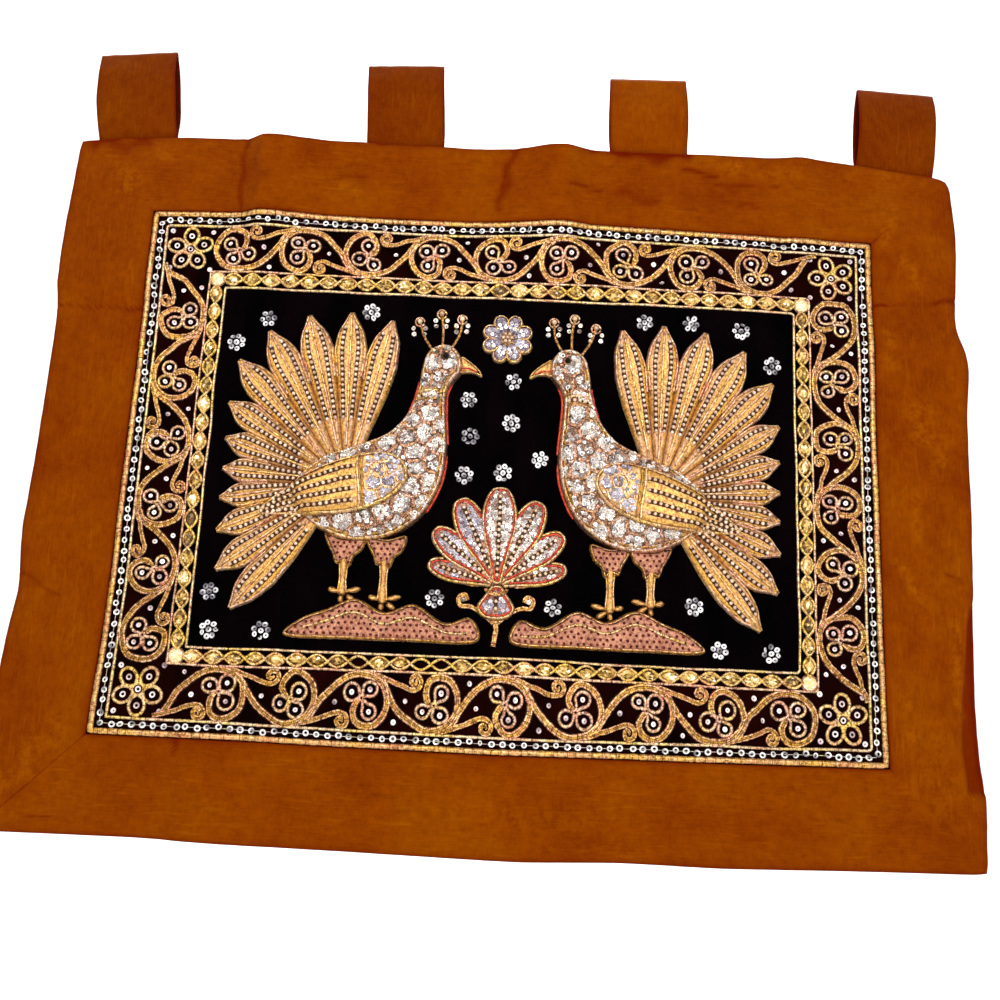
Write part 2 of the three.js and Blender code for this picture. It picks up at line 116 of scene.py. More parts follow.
# soft patches of painted light (below 0) and of painted shade on the silk: one end, other end, half width,
# strength
LIGHT_AND_SHADE_PATCHES = [
    (255, 195, 249, 172, 4, -0.5),
    (262, 157, 270, 143, 4, -0.6),
    (248, 160, 253, 147, 4, 0.35),
    (246, 106, 251, 83, 4, -0.5),
    (261, 56, 284, 20, 9, -0.45),
    (250, 63, 248, 15, 6, 0.35),
    (289, 28, 292, 4, 5, 0.35),
    (262, 0, 263, -30, 2.5, -0.6),
    (273, -10, 276, -40, 6, 0.35),
    (250, -46, 265, -68, 3.5, -0.65),
    (255, -84, 256, -104, 6, 0.35),
    (284, -84, 285, -137, 2.8, -0.65),
    (275, -95, 274, -130, 5, 0.3),
    (250, -127, 254, -153, 3, -0.55),
    (268, -150, 271, -190, 9, -0.35),
    (-261, 198, -259, 187, 7, -0.6),
    (-241, 214, -238, 212, 5, -0.5),
    (-138, 217, -104, 200, 9, 0.35),
    (-117, 193, -104, 188, 4, -0.5),
    (-64, 196, -50, 188, 6, 0.3),
    (-283, 22, -294, -14, 8, 0.4),
    (-292, -125, -286, -168, 8, 0.3),
    (-258, -166, -282, -200, 8, -0.45),
    (127, 227, 149, 224, 5, -0.5),
    (98, 203, 145, 200, 9, 0.3),
    (288, 205, 291, 172, 7, 0.35),
    (232, 226, 262, 223, 7, -0.4),
    (150, 220, 190, 216, 6, -0.3),
    (-20, -205, 60, -208, 6, -0.25),
    (110, -200, 190, -206, 8, 0.2),
]
# how far the cut edge wanders outwards from its straight line: place along the side, distance
WANDER = {
    "top": [(-296, -10), (-262, -6), (-215, -4), (-106, -2), (-24, -3), (60, 0), (130, 1),
            (208, 0), (240, -3), (296, -10)],
    "bottom": [(-296, -2), (-200, -2), (-140, 0), (20, 2), (80, 0), (140, 1), (296, -2)],
    "left": [(-230, 3), (-118, 3), (-82, -1), (-50, 1), (0, -1), (95, -2), (150, 2), (230, -1)],
    "right": [(-230, -1), (-196, 0), (-184, 1), (-172, -1), (-60, 0), (63, 2), (92, 4),
              (118, -3), (147, -1), (185, 2), (230, -1)],
}
# how far the sewn frames bow out of line: height above the middle and shift where it is greatest,
# the share of that shift along the top and along the bottom, then the same for sideways shifts
BOW_HEIGHTS = [(-230, 0), (-168, -2.3), (-159, -2.9), (-127, 2.2), (-117, 1.6), (0, 0), (117, 1),
               (127, 1.7), (159, 2.9), (168, 3), (230, 0)]
BOW_TOP = [(-240, 0), (-165, 0.8), (-30, 0.7), (0, 1.2), (60, 1.5), (118, 1), (165, 0.7), (190, 0.2),
           (240, 0)]
BOW_BOTTOM = [(-240, 0.2), (-150, 0.35), (-90, 0.8), (0, 1.1), (50, 0.9), (160, 0.55), (240, 0.2)]
BOW_SIDES = [(-170, -1.3), (-120, -0.2), (-60, 1), (100, 1), (170, -0.3)]
BOW_INWARDS = [(-296, 0), (-238, 1), (-190, 0), (190, 0), (238, -0.7), (296, 0)]
# hanging loops: middle of the foot, lean to the left in degrees, rise, belly at front and back
TABS = {
    "tab_1": (-258, 6, 68, 5, 4.5),
    "tab_2": (-75.5, 3, 64.4, 3.5, 4.5),
    "tab_3": (91, 1, 58.8, 3.5, 4.5),
    "tab_4": (259, -3, 63.4, 5, 4.5),
}
TAB_WIDTH, TAB_THICK, TAB_TUCK = 53, 1.7, 16
STRIP_DEPTH = 2.4  # how far the strips reach behind the plane of the field

# couched frames: distance from the panel's edge to the middle of the cord
EDGE_INSET, SEQUIN_INSET, RAIL_INSET = 2.6, 7.2, 10.9
SCROLL_INSET, GEM_INSET = 26.9, 47.7
BAND_OUTER_INSET, BAND_INNER_INSET = 42.7, 53.2

RANDOM = np.random.default_rng(18)
ANY_WAY = (0, 6.3)  # a range of turns, in radians


def smoothstep(t):
    """A smooth rise from 0 to 1 while t goes from 0 to 1."""
    t = np.clip(t, 0, 1)
    return t * t * (3 - 2 * t)


def is_level(side):
    return side in ("top", "bottom")


def outwards(side):
    """The sign of x or z on one side of the cloth."""
    return 1 if side in ("top", "right") else -1


def side_share(side, x, z):
    """0 in the field, rising to 1 towards one side of the cloth."""
    far, field, cloth = (z, FIELD_Z, CLOTH_Z) if is_level(side) else (x, FIELD_X, CLOTH_X)
    return smoothstep((outwards(side) * far - field) / (0.75 * (cloth - field)))


def ripple(x, z, wave, seed):
    """Smooth uneven waves of about one unit, the same on each run."""
    rng = np.random.default_rng(seed)
    total = 0
    for _ in range(6):
        turn, phase = rng.uniform(0, 2 * math.pi, 2)
        length = wave * rng.uniform(0.7, 1.6)
        total = total + np.sin(2 * math.pi * (x * math.cos(turn) + z * math.sin(turn)) / length + phase)
    return total / 4


def rise(x, z):
    """How far the cloth stands forward of the field's plane."""
    out = 0
    for side, at, lift, before, after in FOLDS:
        away = (x if is_level(side) else z) - at
        reach = np.where(away < 0, before, after)
        out = out + lift * np.exp(-((away / reach) ** 2)) * side_share(side, x, z)
    return out


def streak(x, z, x0, z0, x1, z1, half):
    """1 along a slightly bent line, fading to 0 beyond half a width to each side and past its ends."""
    run, climb = x1 - x0, z1 - z0
    length = math.hypot(run, climb)
    along = ((x - x0) * run + (z - z0) * climb) / length**2
    bend = 0.5 * half * np.sin(along * length / 4)
    off = ((z - z0) * run - (x - x0) * climb) / length - bend
    past = np.maximum(np.maximum(-along, along - 1), 0) * length
    return np.exp(-((off**2 + past**2) / half**2))


def wrinkles(x, z):
    """Depth and painted shade of the creases in the silk border, with the patches of painted light and shade
    added.
    """
    depth, shade, painted_patches = 0, 0, 0
    for *line, deep, dark in WRINKLES:
        shape = streak(x, z, *line)
        depth = depth + deep * shape
        shade = np.maximum(shade, dark * shape)
    for *line, strength in LIGHT_AND_SHADE_PATCHES:
        painted_patches = painted_patches + strength * streak(x, z, *line)
    return depth, shade + 0.8 * np.maximum(painted_patches, 0) + np.minimum(painted_patches, 0)


def read_off(table, at):
    """The value of a table of (place, value) rows at each place."""
    places, values = zip(*table)
    return np.interp(at, places, values)


def bow(x, z):
    """Sideways and upward shift within the cloth: the frames were not sewn quite straight."""
    share = np.where(z > 0, read_off(BOW_TOP, x), read_off(BOW_BOTTOM, x))
    return read_off(BOW_INWARDS, x) * read_off(BOW_SIDES, z), read_off(BOW_HEIGHTS, z) * share


def to_world(points):
    """Flat drawing points (x, z, out) in millimetres to world points in metres."""
    x, z, out = points[:, 0], points[:, 1], points[:, 2]
    y = FRONT_Y - (out + rise(x, z)) * MM
    aside, up = bow(x, z)
    return np.stack([(x + aside) * MM, y, MID_Z + (z + up) * MM], 1)


def wander(side, at):
    """How far one side's cut edge stands out from its straight line, smoothed."""
    return sum(read_off(WANDER[side], at + d) for d in (-9, -3, 3, 9)) / 4


# ----------------------------------------
# Meshes
def mesh_object(name, points, face_sets, uv_sets, tones, materials, smooth, slots=None):
    """A new object in the scene, from points in metres. slots: the material number of each face."""
    mesh = bpy.data.meshes.new(name)
    mesh.from_pydata(points.tolist(), [], [face for faces in face_sets for face in faces.tolist()])
    uv = np.concatenate([u.reshape(-1, 2) for u in uv_sets])
    mesh.uv_layers.new(name="thread").data.foreach_set("uv", uv.ravel())
    mesh.attributes.new("tone", "FLOAT", "POINT").data.foreach_set("value", tones.astype(np.float32))
    for material in materials:
        mesh.materials.append(material)
    if slots is not None:
        mesh.polygons.foreach_set("material_index", slots)
    mesh.polygons.foreach_set("use_smooth", [smooth] * len(mesh.polygons))
    mesh.update()
    obj = bpy.data.objects.new(name, mesh)
    bpy.context.scene.collection.objects.link(obj)
    return obj


def finish_piece(obj, slot, *nodes):
    """Puts an object on the one body, in the place of the given CAD nodes. slot: not used."""
    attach(obj, "root")
    if nodes:
        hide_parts(*nodes)


class Batch:
    """Many small shapes that become one object."""

    def __init__(self, name, material, smooth=True):
        self.name, self.material, self.smooth = name, material, smooth
        self.points, self.faces, self.uvs, self.tones = [], [], [], []
        self.count = 0

    def add(self, points, faces, uv, tone, ends=()):
        """points (n, 3) drawn flat, faces (m, 3 or 4), uv (m, corners, 2) or None, tone (n).
        ends: more sets of faces, without uv."""
        for some in (faces, *ends):
            self.faces.append(some + self.count)
            self.uvs.append(np.zeros(some.shape + (2,)) if uv is None or some is not faces else uv)
        self.points.append(points)
        self.tones.append(tone)
        self.count += len(points)

    def finish(self, slot, *nodes, fill=None):
        """The object. fill is given for a padded piece, but is not used."""
        points = to_world(np.concatenate(self.points))
        obj = mesh_object(self.name, points, self.faces, self.uvs, np.concatenate(self.tones),
                          [self.material], self.smooth)
        finish_piece(obj, slot, *nodes)


def grid_faces(rows, columns, backwards=False):
    """Three sets of quads that close a grid of points and its copy behind it: front, back, rim."""
    count = rows * columns
    j, i = np.meshgrid(np.arange(rows - 1), np.arange(columns - 1), indexing="ij")
    a = (j * columns + i).ravel()
    front = np.stack([a, a + 1, a + columns + 1, a + columns], 1)
    across, down = np.arange(columns - 1), np.arange(rows - 1)
    around = np.concatenate([across, columns * (down + 1) - 1, count - 1 - across,
                             columns * (rows - 1 - down)])
    if backwards:
        front, around = front[:, ::-1], around[::-1]
    following = np.roll(around, -1)
    rim = np.stack([around + count, following + count, following, around], 1)
    return [front, front[:, ::-1] + count, rim]


def turns_backwards(points, face):
    """True where a face that is drawn flat points away from the viewer."""
    a, b, c = points[face[:3]]
    return np.cross(b - a, c - a)[2] < 0


# ----------------------------------------
# Lines in the plane
def measured(path, closed=False):
    """The line, joined up where it is closed, and how far along it each point lies."""
    path = np.asarray(path, float)
    if closed:
        path = np.vstack([path, path[:1]])
    return path, np.r_[0, np.cumsum(np.linalg.norm(np.diff(path, axis=0), axis=1))]


def spaced(lengths, step):
    """Even distances, about step apart, from one end of a line to the other."""
    return np.linspace(0, lengths[-1], max(2, int(round(lengths[-1] / step))) + 1)


def points_at(path, lengths, at):
    """The points of a line at some distances along it."""
    return np.stack([np.interp(at, lengths, path[:, k]) for k in (0, 1)], 1)


def resample(path, step, closed=False):
    """The same line with evenly spaced points about step apart."""
    path, lengths = measured(path, closed)
    at = spaced(lengths, step)
    return points_at(path, lengths, at[:-1] if closed else at)


def smooth_line(points, closed=False, pieces=8):
    """A Catmull-Rom curve through the points."""
    p = np.asarray(points, float)
    n = len(p)
    out = []
    for i in range(n if closed else n - 1):
        if closed:
            a, b, c, d = p[i - 1], p[i], p[(i + 1) % n], p[(i + 2) % n]
        else:
            a, b, c, d = p[max(i - 1, 0)], p[i], p[i + 1], p[min(i + 2, n - 1)]
        for t in np.arange(pieces) / pieces:
            out.append(0.5 * (2 * b + (c - a) * t + (2 * a - 5 * b + 4 * c - d) * t**2
                              + (3 * b - a - 3 * c + d) * t**3))
    if not closed:
        out.append(p[-1])
    return np.array(out)


def softened(line):
    """A closed line with each point drawn towards its neighbours."""
    return 0.25 * np.roll(line, 1, 0) + 0.5 * line + 0.25 * np.roll(line, -1, 0)


def heading(turn):
    """The unit vector at turn degrees from the x axis, and the one a quarter turn further on."""
    t = math.radians(turn)
    return np.array([math.cos(t), math.sin(t)]), np.array([-math.sin(t), math.cos(t)])


def rotation(angle):
    """The matrix that turns rows of points by an angle in radians."""
    return np.array([[math.cos(angle), math.sin(angle)], [-math.sin(angle), math.cos(angle)]])


def arc(centre, radius, start, end, count, flat=1.0, turn=0.0):
    """Part of a circle or, with flat below 1, of an ellipse turned by turn degrees."""
    a = np.radians(np.linspace(start, end, count))[:, None]
    ahead, aside = heading(turn)
    return np.asarray(centre, float) + radius * np.cos(a) * ahead + radius * flat * np.sin(a) * aside


def normals_along(path, closed):
    """Unit vectors to the left of a line, at each of its points."""
    if closed:
        tangent = np.roll(path, -1, 0) - np.roll(path, 1, 0)
    else:
        tangent = np.gradient(path, axis=0)
    tangent /= np.linalg.norm(tangent, axis=1, keepdims=True) + 1e-9
    return np.stack([-tangent[:, 1], tangent[:, 0]], 1)


def stretches(good, least):
    """First and last index, as for a slice, of every run of more than least True values."""
    start = None
    for i, g in enumerate(np.r_[good, False]):
        if g and start is None:
            start = i
        if start is not None and not g:
            if i - start > least:
                yield start, i
            start = None


def inside_runs(path, pad, least):
    """The stretches of a line that lie at least so deep inside a pad's outline."""
    good = pad.depth_inside(*path.T) >= least
    good[-1] = False
    return [path[start:end] for start, end in stretches(good, 2)]


def flat_base(x, z):
    """The height of the plain cloth."""
    return 0 * x


# Cross-sections of couched cord: (across, up), shares of half the width and of the height.
ROUND = [(-1, 0), (-0.85, 0.62), (0, 1), (0.85, 0.62), (1, 0)]
FLAT = [(-1, 0), (0, 1), (1, 0)]
DOUBLE = [(-1, 0), (-0.95, 0.62), (-0.52, 1), (0, 0.5), (0.52, 1), (0.95, 0.62), (1, 0)]
STITCH_HALF = 0.46  # half the width of a stitch that ties a cord down
STITCH_ROOM = 0.8  # the least distance from a stitch to the end of its cord


def stations(path, step, stitch, closed):
    """Places of a cord's sections: points, distances, and which of them lie under a stitch."""
    path, lengths = measured(path, closed)
    total = lengths[-1]
    at = spaced(lengths, step)
    marks = np.array([])
    if stitch:
        gaps = RANDOM.uniform(0.6, 1.4, int(total / stitch) + 3) * stitch
        marks = np.cumsum(gaps) - 0.6 * gaps[0]
        marks = marks[(marks > STITCH_ROOM) & (marks < total - STITCH_ROOM)]
    if len(marks):
        keep = np.abs(at[:, None] - marks).min(1) > 0.6
        keep[[0, -1]] = True
        at = np.sort(np.concatenate([at[keep], marks - STITCH_HALF, marks, marks + STITCH_HALF]))
    return points_at(path, lengths, at), at, np.searchsorted(at, marks)


def cord(batch, path, width, height, closed=False, base=flat_base, section=ROUND, step=1.1,
         stitch=0.0, lift=0.05, taper=False):
    """A couched cord laid along path. Stitches pinch it and are marked in its tone."""
    path, along, marks = stations(path, step, stitch, closed)
    if closed:
        path = path[:-1]
    n, k = len(path), len(section)
    swell = 1 + 0.05 * RANDOM.standard_normal(n)
    tone = np.zeros(n)
    tone[marks] = RANDOM.uniform(0.55, 1, len(marks))
    swell[marks] *= 0.9
    if taper:
        swell *= np.minimum(1, 0.35 + 0.65 * np.arange(n)[::-1] / 4)
    across, up = np.array(section, float).T
    side = (across * width / 2 * swell[:, None])[..., None] * normals_along(path, closed)[:, None]
    x, z = np.moveaxis(path[:, None] + side, -1, 0)
    out = base(x, z) + lift + up * height * swell[:, None]
    rows = n if closed else n - 1
    i, j = np.arange(rows)[:, None], np.arange(k)[None]
    following, beside = (i + 1) % n * k, (j + 1) % k
    faces = np.stack([i * k + j, following + j, following + beside, i * k + beside], -1)
    u0, u1, v0, v1 = np.broadcast_arrays(along[:rows, None], along[1:rows + 1, None], j / k, (j + 1) / k)
    uv = np.stack([u0, v0, u1, v0, u1, v1, u0, v1], -1)
    fan = np.array([[0, m, m + 1] for m in range(1, k - 1)])
    batch.add(np.stack([x, z, out], -1).reshape(-1, 3), faces.reshape(-1, 4), uv.reshape(-1, 4, 2),
              np.repeat(tone, k), () if closed else (fan, (n - 1) * k + fan[:, ::-1]))


# ----------------------------------------
# Small things stamped many times. A template is drawn flat with its own out, 1 mm in radius.
def circle(count, start=0.0):
    """Angles in radians, evenly spaced all round."""
    return start + 2 * math.pi * np.arange(count) / count


def ring_template(radii, heights, count):
    """Rings of points joined by quads, the first ring being the innermost."""
    turns = circle(count)
    points = [np.stack([r * np.cos(turns), r * np.sin(turns), np.full(count, h)], 1)
              for r, h in zip(radii, heights)]
    ring, m = np.divmod(np.arange((len(radii) - 1) * count), count)
    a, b = ring * count + m, ring * count + (m + 1) % count
    return np.vstack(points), np.stack([a, a + count, b + count, b], 1)


def dome_template(radii, heights, count, top, bottom):
    """A closed bead: rings between two poles, all triangles."""
    points, quads = ring_template(radii, heights, count)
    n = len(points)
    last = n - count
    m = np.arange(count)
    following = (m + 1) % count
    faces = [quads[:, :3], quads[:, [0, 2, 3]], np.stack([np.full(count, n), m, following], 1),
             np.stack([np.full(count, n + 1), last + following, last + m], 1)]
    return np.vstack([points, [0, 0, top], [0, 0, bottom]]), np.vstack(faces)


SEQUIN = ring_template([0.24, 0.62, 1.0], [0.0, -0.02, 0.2], 9)
RING_SEQUIN = ring_template([0.46, 0.54, 0.86, 1.0], [0.0, 0.16, 0.24, 0.05], 12)
FLOWER_SEQUIN = ring_template([0.28, 0.4, 0.82, 1.0], [0.02, 0.18, 0.24, 0.05], 12)
BEAD = dome_template([0.72, 1.0, 0.72], [0.7, 0.0, -0.7], 6, 1.0, -1.0)
CORNER_STONE = dome_template([0.55, 1.0], [0.4, 0.0], 10, 0.45, -0.05)
EYE_RING = dome_template([0.6, 1.0], [0.4, 0.0], 12, 0.5, -0.2)


def marquise_template():
    """A cut stone, 1 long each way from the middle, whose facets share no points."""
    count = 8
    turns, half = circle(count), circle(count, math.pi / count)
    girdle = np.stack([np.cos(turns), 0.7 * np.sin(turns) * np.abs(np.sin(turns)) ** 0.3, 0 * turns], 1)
    table = np.stack([0.52 * np.cos(half), 0.4 * np.sin(half), 0 * half + 0.36], 1)
    peak, low = np.array([0, 0, 0.45]), np.array([0, 0, -0.1])
    facets = []
    for m in range(count):
        n = (m + 1) % count
        facets += [[girdle[m], girdle[n], table[m]], [table[m], girdle[n], table[n]],
                   [peak, table[m], table[n]], [low, girdle[n], girdle[m]]]
    return np.array(facets).reshape(-1, 3), np.arange(12 * count).reshape(-1, 3)


MARQUISE = marquise_template()


def drawn(value, n):
    """n numbers: one number n times, n numbers as they are, or n drawn from a range (low, high)."""
    if isinstance(value, tuple):
        return RANDOM.uniform(*value, n)
    return np.broadcast_to(np.asarray(value, float), (n,))


def stamp(batch, template, places, out, sizes, turns=0.0, tilts=0.0, tones=(0, 1), base=flat_base,
          glare=0.0):
    """Copies of a template at places (n, 2), each lifted out from the base, scaled, turned in the
    plane and tilted. tilts: the spread of the slopes, or the slopes. With glare each copy is
    painted lighter on one side than on the other, a painted highlight and painted shade."""
    points, faces = template
    n = len(places)
    if n == 0:
        return
    x, z = np.asarray(places, float).T
    sizes, turns = drawn(sizes, n), drawn(turns, n)
    if np.ndim(tilts) == 0:
        tilts = RANDOM.normal(0, tilts, (n, 2)) if tilts else np.zeros((n, 2))
    if np.ndim(tones) < 2:
        tones = np.repeat(drawn(tones, n)[:, None], len(points), 1)
    # glare: a painted highlight on one side of each copy and painted shade on the other
    if glare:
        facing = np.arctan2(points[:, 1], points[:, 0]) - RANDOM.uniform(*ANY_WAY, n)[:, None]
        tones = np.clip(tones + glare * np.cos(facing), 0, 1)
    h = 0.4  # the slope of the base is taken this far to both sides
    slope_x = ((base(x + h, z) - base(x - h, z)) / (2 * h) + tilts[:, 0])[:, None]
    slope_z = ((base(x, z + h) - base(x, z - h)) / (2 * h) + tilts[:, 1])[:, None]
    across, along, up = np.moveaxis(points[None] * sizes[:, None, None], -1, 0)
    cos, sin = np.cos(turns)[:, None], np.sin(turns)[:, None]
    across, along = across * cos - along * sin, across * sin + along * cos
    # shortening along the slope keeps a steeply lying piece its own size
    short_x, short_z = 1 / np.sqrt(1 + slope_x**2), 1 / np.sqrt(1 + slope_z**2)
    at_x = x[:, None] + across * short_x - up * slope_x * short_x
    at_z = z[:, None] + along * short_z - up * slope_z * short_z
    at_out = (drawn(out, n)[:, None] + up * short_x * short_z + across * short_x * slope_x
              + along * short_z * slope_z + base(x, z)[:, None])
    all_faces = (faces[None] + (np.arange(n) * len(points))[:, None, None]).reshape(-1, faces.shape[1])
    batch.add(np.stack([at_x, at_z, at_out], -1).reshape(-1, 3), all_faces, None, np.ravel(tones))


# ----------------------------------------
# Padded shapes
ROW_PITCH = 0.866  # the distance between the rows of a honeycomb of points, over the points' own


def honeycomb(low, high, pitch):
    """Points in rows, every other row shifted by half the pitch."""
    rows = np.arange(low[1], high[1], pitch * ROW_PITCH)
    columns = np.arange(low[0], high[0], pitch)
    return np.array([(x + (k % 2) * pitch / 2, z) for k, z in enumerate(rows) for x in columns])


def triangulated(spots, rings, how):
    """Delaunay triangles between points, as arrays of points and of faces."""
    result = delaunay_2d_cdt([Vector(p) for p in spots], [], rings, how, 1e-5)
    return np.array([list(v) for v in result[0]]), np.array([list(f) for f in result[2]])


class Pad:
    """A stuffed shape with a closed outline, rounded shoulders and a flatter top."""

    def __init__(self, outline, high=1.0, shoulder=1.0, under=flat_base):
        self.line = np.asarray(outline, float)
        self.high, self.shoulder, self.under = high, shoulder, under

    def depth_inside(self, x, z):
        """Distance to the outline, positive inside and negative outside."""
        x, z = np.asarray(x, float), np.asarray(z, float)
        px, pz = x.ravel()[:, None], z.ravel()[:, None]
        (ax, az), (bx, bz) = self.line.T, np.roll(self.line, -1, 0).T
        dx, dz = bx - ax, bz - az
        t = np.clip(((px - ax) * dx + (pz - az) * dz) / (dx * dx + dz * dz + 1e-12), 0, 1)
        distance = np.sqrt(((px - ax - t * dx) ** 2 + (pz - az - t * dz) ** 2).min(1))
        crossing = ((az > pz) != (bz > pz)) & (px < dx * (pz - az) / np.where(dz == 0, 1e-9, dz) + ax)
        inside = crossing.sum(1) % 2 == 1
        return np.where(inside, distance, -distance).reshape(x.shape)

    def height(self, x, z):
        d = self.depth_inside(x, z)
        t = np.clip(d / self.shoulder, 0, 1)
        crown = 0.88 * np.sqrt(1 - (1 - t) ** 2) + 0.12 * np.clip(d / (2.5 * self.shoulder), 0, 1)
        return np.where(d > 0, self.under(x, z) + self.high * crown, 0)

    def within(self, spots, least):
        """Those of the points that lie deeper inside the outline than least."""
        return spots[self.depth_inside(spots[:, 0], spots[:, 1]) > least]

    def add_to(self, batch, spacing, uv_of=None, tone_of=None):
        """The closed shape: its crown in front and a flat back against the cloth."""
        rim = resample(self.line, spacing, True)
        grid = self.within(honeycomb(self.line.min(0), self.line.max(0), spacing), 0.55 * spacing)
        flat, faces = triangulated(np.vstack([rim, grid]), [list(range(len(rim)))], 1)
        x, z = flat.T
        edges = np.sort(np.vstack([faces[:, [0, 1]], faces[:, [1, 2]], faces[:, [2, 0]]]), 1)
        kinds, counts = np.unique(edges, axis=0, return_counts=True)
        on_rim = np.isin(np.arange(len(flat)), kinds[counts == 1])
        top = np.where(on_rim, 0.05, self.height(x, z))
        a, b, c = flat[faces[:, 0]], flat[faces[:, 1]], flat[faces[:, 2]]
        area = (b[:, 0] - a[:, 0]) * (c[:, 1] - a[:, 1]) - (b[:, 1] - a[:, 1]) * (c[:, 0] - a[:, 0])
        faces = np.where((area < 0)[:, None], faces[:, ::-1], faces)
        inner = np.where(~on_rim)[0]
        back = np.arange(len(flat))
        back[inner] = len(flat) + np.arange(len(inner))
        points = np.vstack([np.stack([x, z, top], 1),
                            np.stack([x[inner], z[inner], np.full(len(inner), 0.04)], 1)])
        uv = flat if uv_of is None else uv_of(x, z)
        tone = np.zeros(len(flat)) if tone_of is None else tone_of(x, z)
        batch.add(points, np.vstack([faces, back[faces][:, ::-1]]),
                  np.concatenate([uv[faces], uv[faces][:, ::-1]]), np.concatenate([tone, tone[inner]]))


# ----------------------------------------
# Materials
WHITE = (1, 1, 1)


def tinted(colour, *shares):
    """Three numbers, each times its own share."""
    return tuple(a * c for a, c in zip(shares, colour))


class Shader:
    """A procedural material, with short calls for the nodes that feed its surface."""

    def __init__(self, name):
        self.material = bpy.data.materials.new(name)
        self.material.use_nodes = True
        self.tree = self.material.node_tree
        self.surface = self.tree.nodes["Principled BSDF"]

    def put(self, socket, value):
        if isinstance(value, bpy.types.NodeSocket):
            self.tree.links.new(value, socket)
        else:
            socket.default_value = value

    def node(self, kind, inputs=(), out=0, **settings):
        """A new node's output. inputs: socket to value or to another node's output."""
        made = self.tree.nodes.new("ShaderNode" + kind)
        for key, value in settings.items():
            setattr(made, key, value)
        for key, value in dict(inputs).items():
            self.put(made.inputs[key], value)
        return made.outputs[out]

    def sums(self, operation, a, b=0.0):
        """A Math node."""
        return self.node("Math", {0: a, 1: b}, operation=operation)

    def plus(self, a, b):
        return self.sums("ADD", a, b)

    def times(self, a, b):
        return self.sums("MULTIPLY", a, b)

    def weighted(self, *pairs):
        """The sum of several values, each times its weight."""
        terms = [value if weight == 1 else self.times(value, weight) for value, weight in pairs]
        total = terms[0]
        for term in terms[1:]:
            total = self.plus(total, term)
        return total

    def stretched(self, vector, scale):
        """A vector times one number or times three."""
        scale = scale if isinstance(scale, tuple) else (scale,) * 3
        return self.node("VectorMath", {0: vector, 1: scale}, operation="MULTIPLY")

    def place(self, scale):
        """Object coordinates in metres, stretched."""
        return self.stretched(self.node("TexCoord", out="Object"), scale)

    def thread(self, scale):
        """The thread coordinates (millimetres along, share across), stretched."""
        return self.stretched(self.node("UVMap", uv_map="thread"), scale)

    def noise(self, scale, detail=3.0, rough=0.55, of=None):
        return self.node("TexNoise", {"Vector": (of or self.place)(scale), "Scale": 1.0, "Detail": detail,
                                      "Roughness": rough})

    def part(self, vector, number):
        return self.node("SeparateXYZ", {0: vector}, out=number)

    def ramp(self, value, stops):
        """A colour ramp with stops (place, colour)."""
        made = self.tree.nodes.new("ShaderNodeValToRGB")
        ramp = made.color_ramp
        while len(ramp.elements) < len(stops):
            ramp.elements.new(0.5)
        for element, (at, colour) in zip(ramp.elements, stops):
            element.position = at
            element.color = (*colour, 1)
        self.put(made.inputs[0], value)
        return made.outputs[0]

    def greys(self, value, low, high, first=0, last=1):
        """A ramp between two greys, by default from black to white."""
        return self.ramp(value, [(low, (first,) * 3), (high, (last,) * 3)])

    def mix(self, share, a, b, how="MIX"):
        made = self.tree.nodes.new("ShaderNodeMix")
        made.data_type = "RGBA"
        made.blend_type = how
        for number, value in zip((0, 6, 7), (share, a, b)):
            self.put(made.inputs[number], (*value, 1) if isinstance(value, tuple) else value)
        return made.outputs[2]

    def tint(self, colour, by):
        return self.mix(1.0, colour, by, "MULTIPLY")

    def bump(self, height, strength, distance, normal=None):
        inputs = {"Height": height, "Strength": strength, "Distance": distance}
        if normal is not None:
            inputs["Normal"] = normal
        return self.node("Bump", inputs)

    def tone(self):
        return self.node("Attribute", out="Fac", attribute_name="tone")

    def finish(self, colour, rough, metal=0.0, normal=None, **plain):
        """The material. plain: values that are the same all over, by the sockets' names."""
        for key, value in {"Base Color": colour, "Roughness": rough, "Metallic": metal}.items():
            self.put(self.surface.inputs[key], value)
        if normal is not None:
            self.put(self.surface.inputs["Normal"], normal)
        for key, value in plain.items():
            self.surface.inputs[key.replace("_", " ")].default_value = value
        return self.material


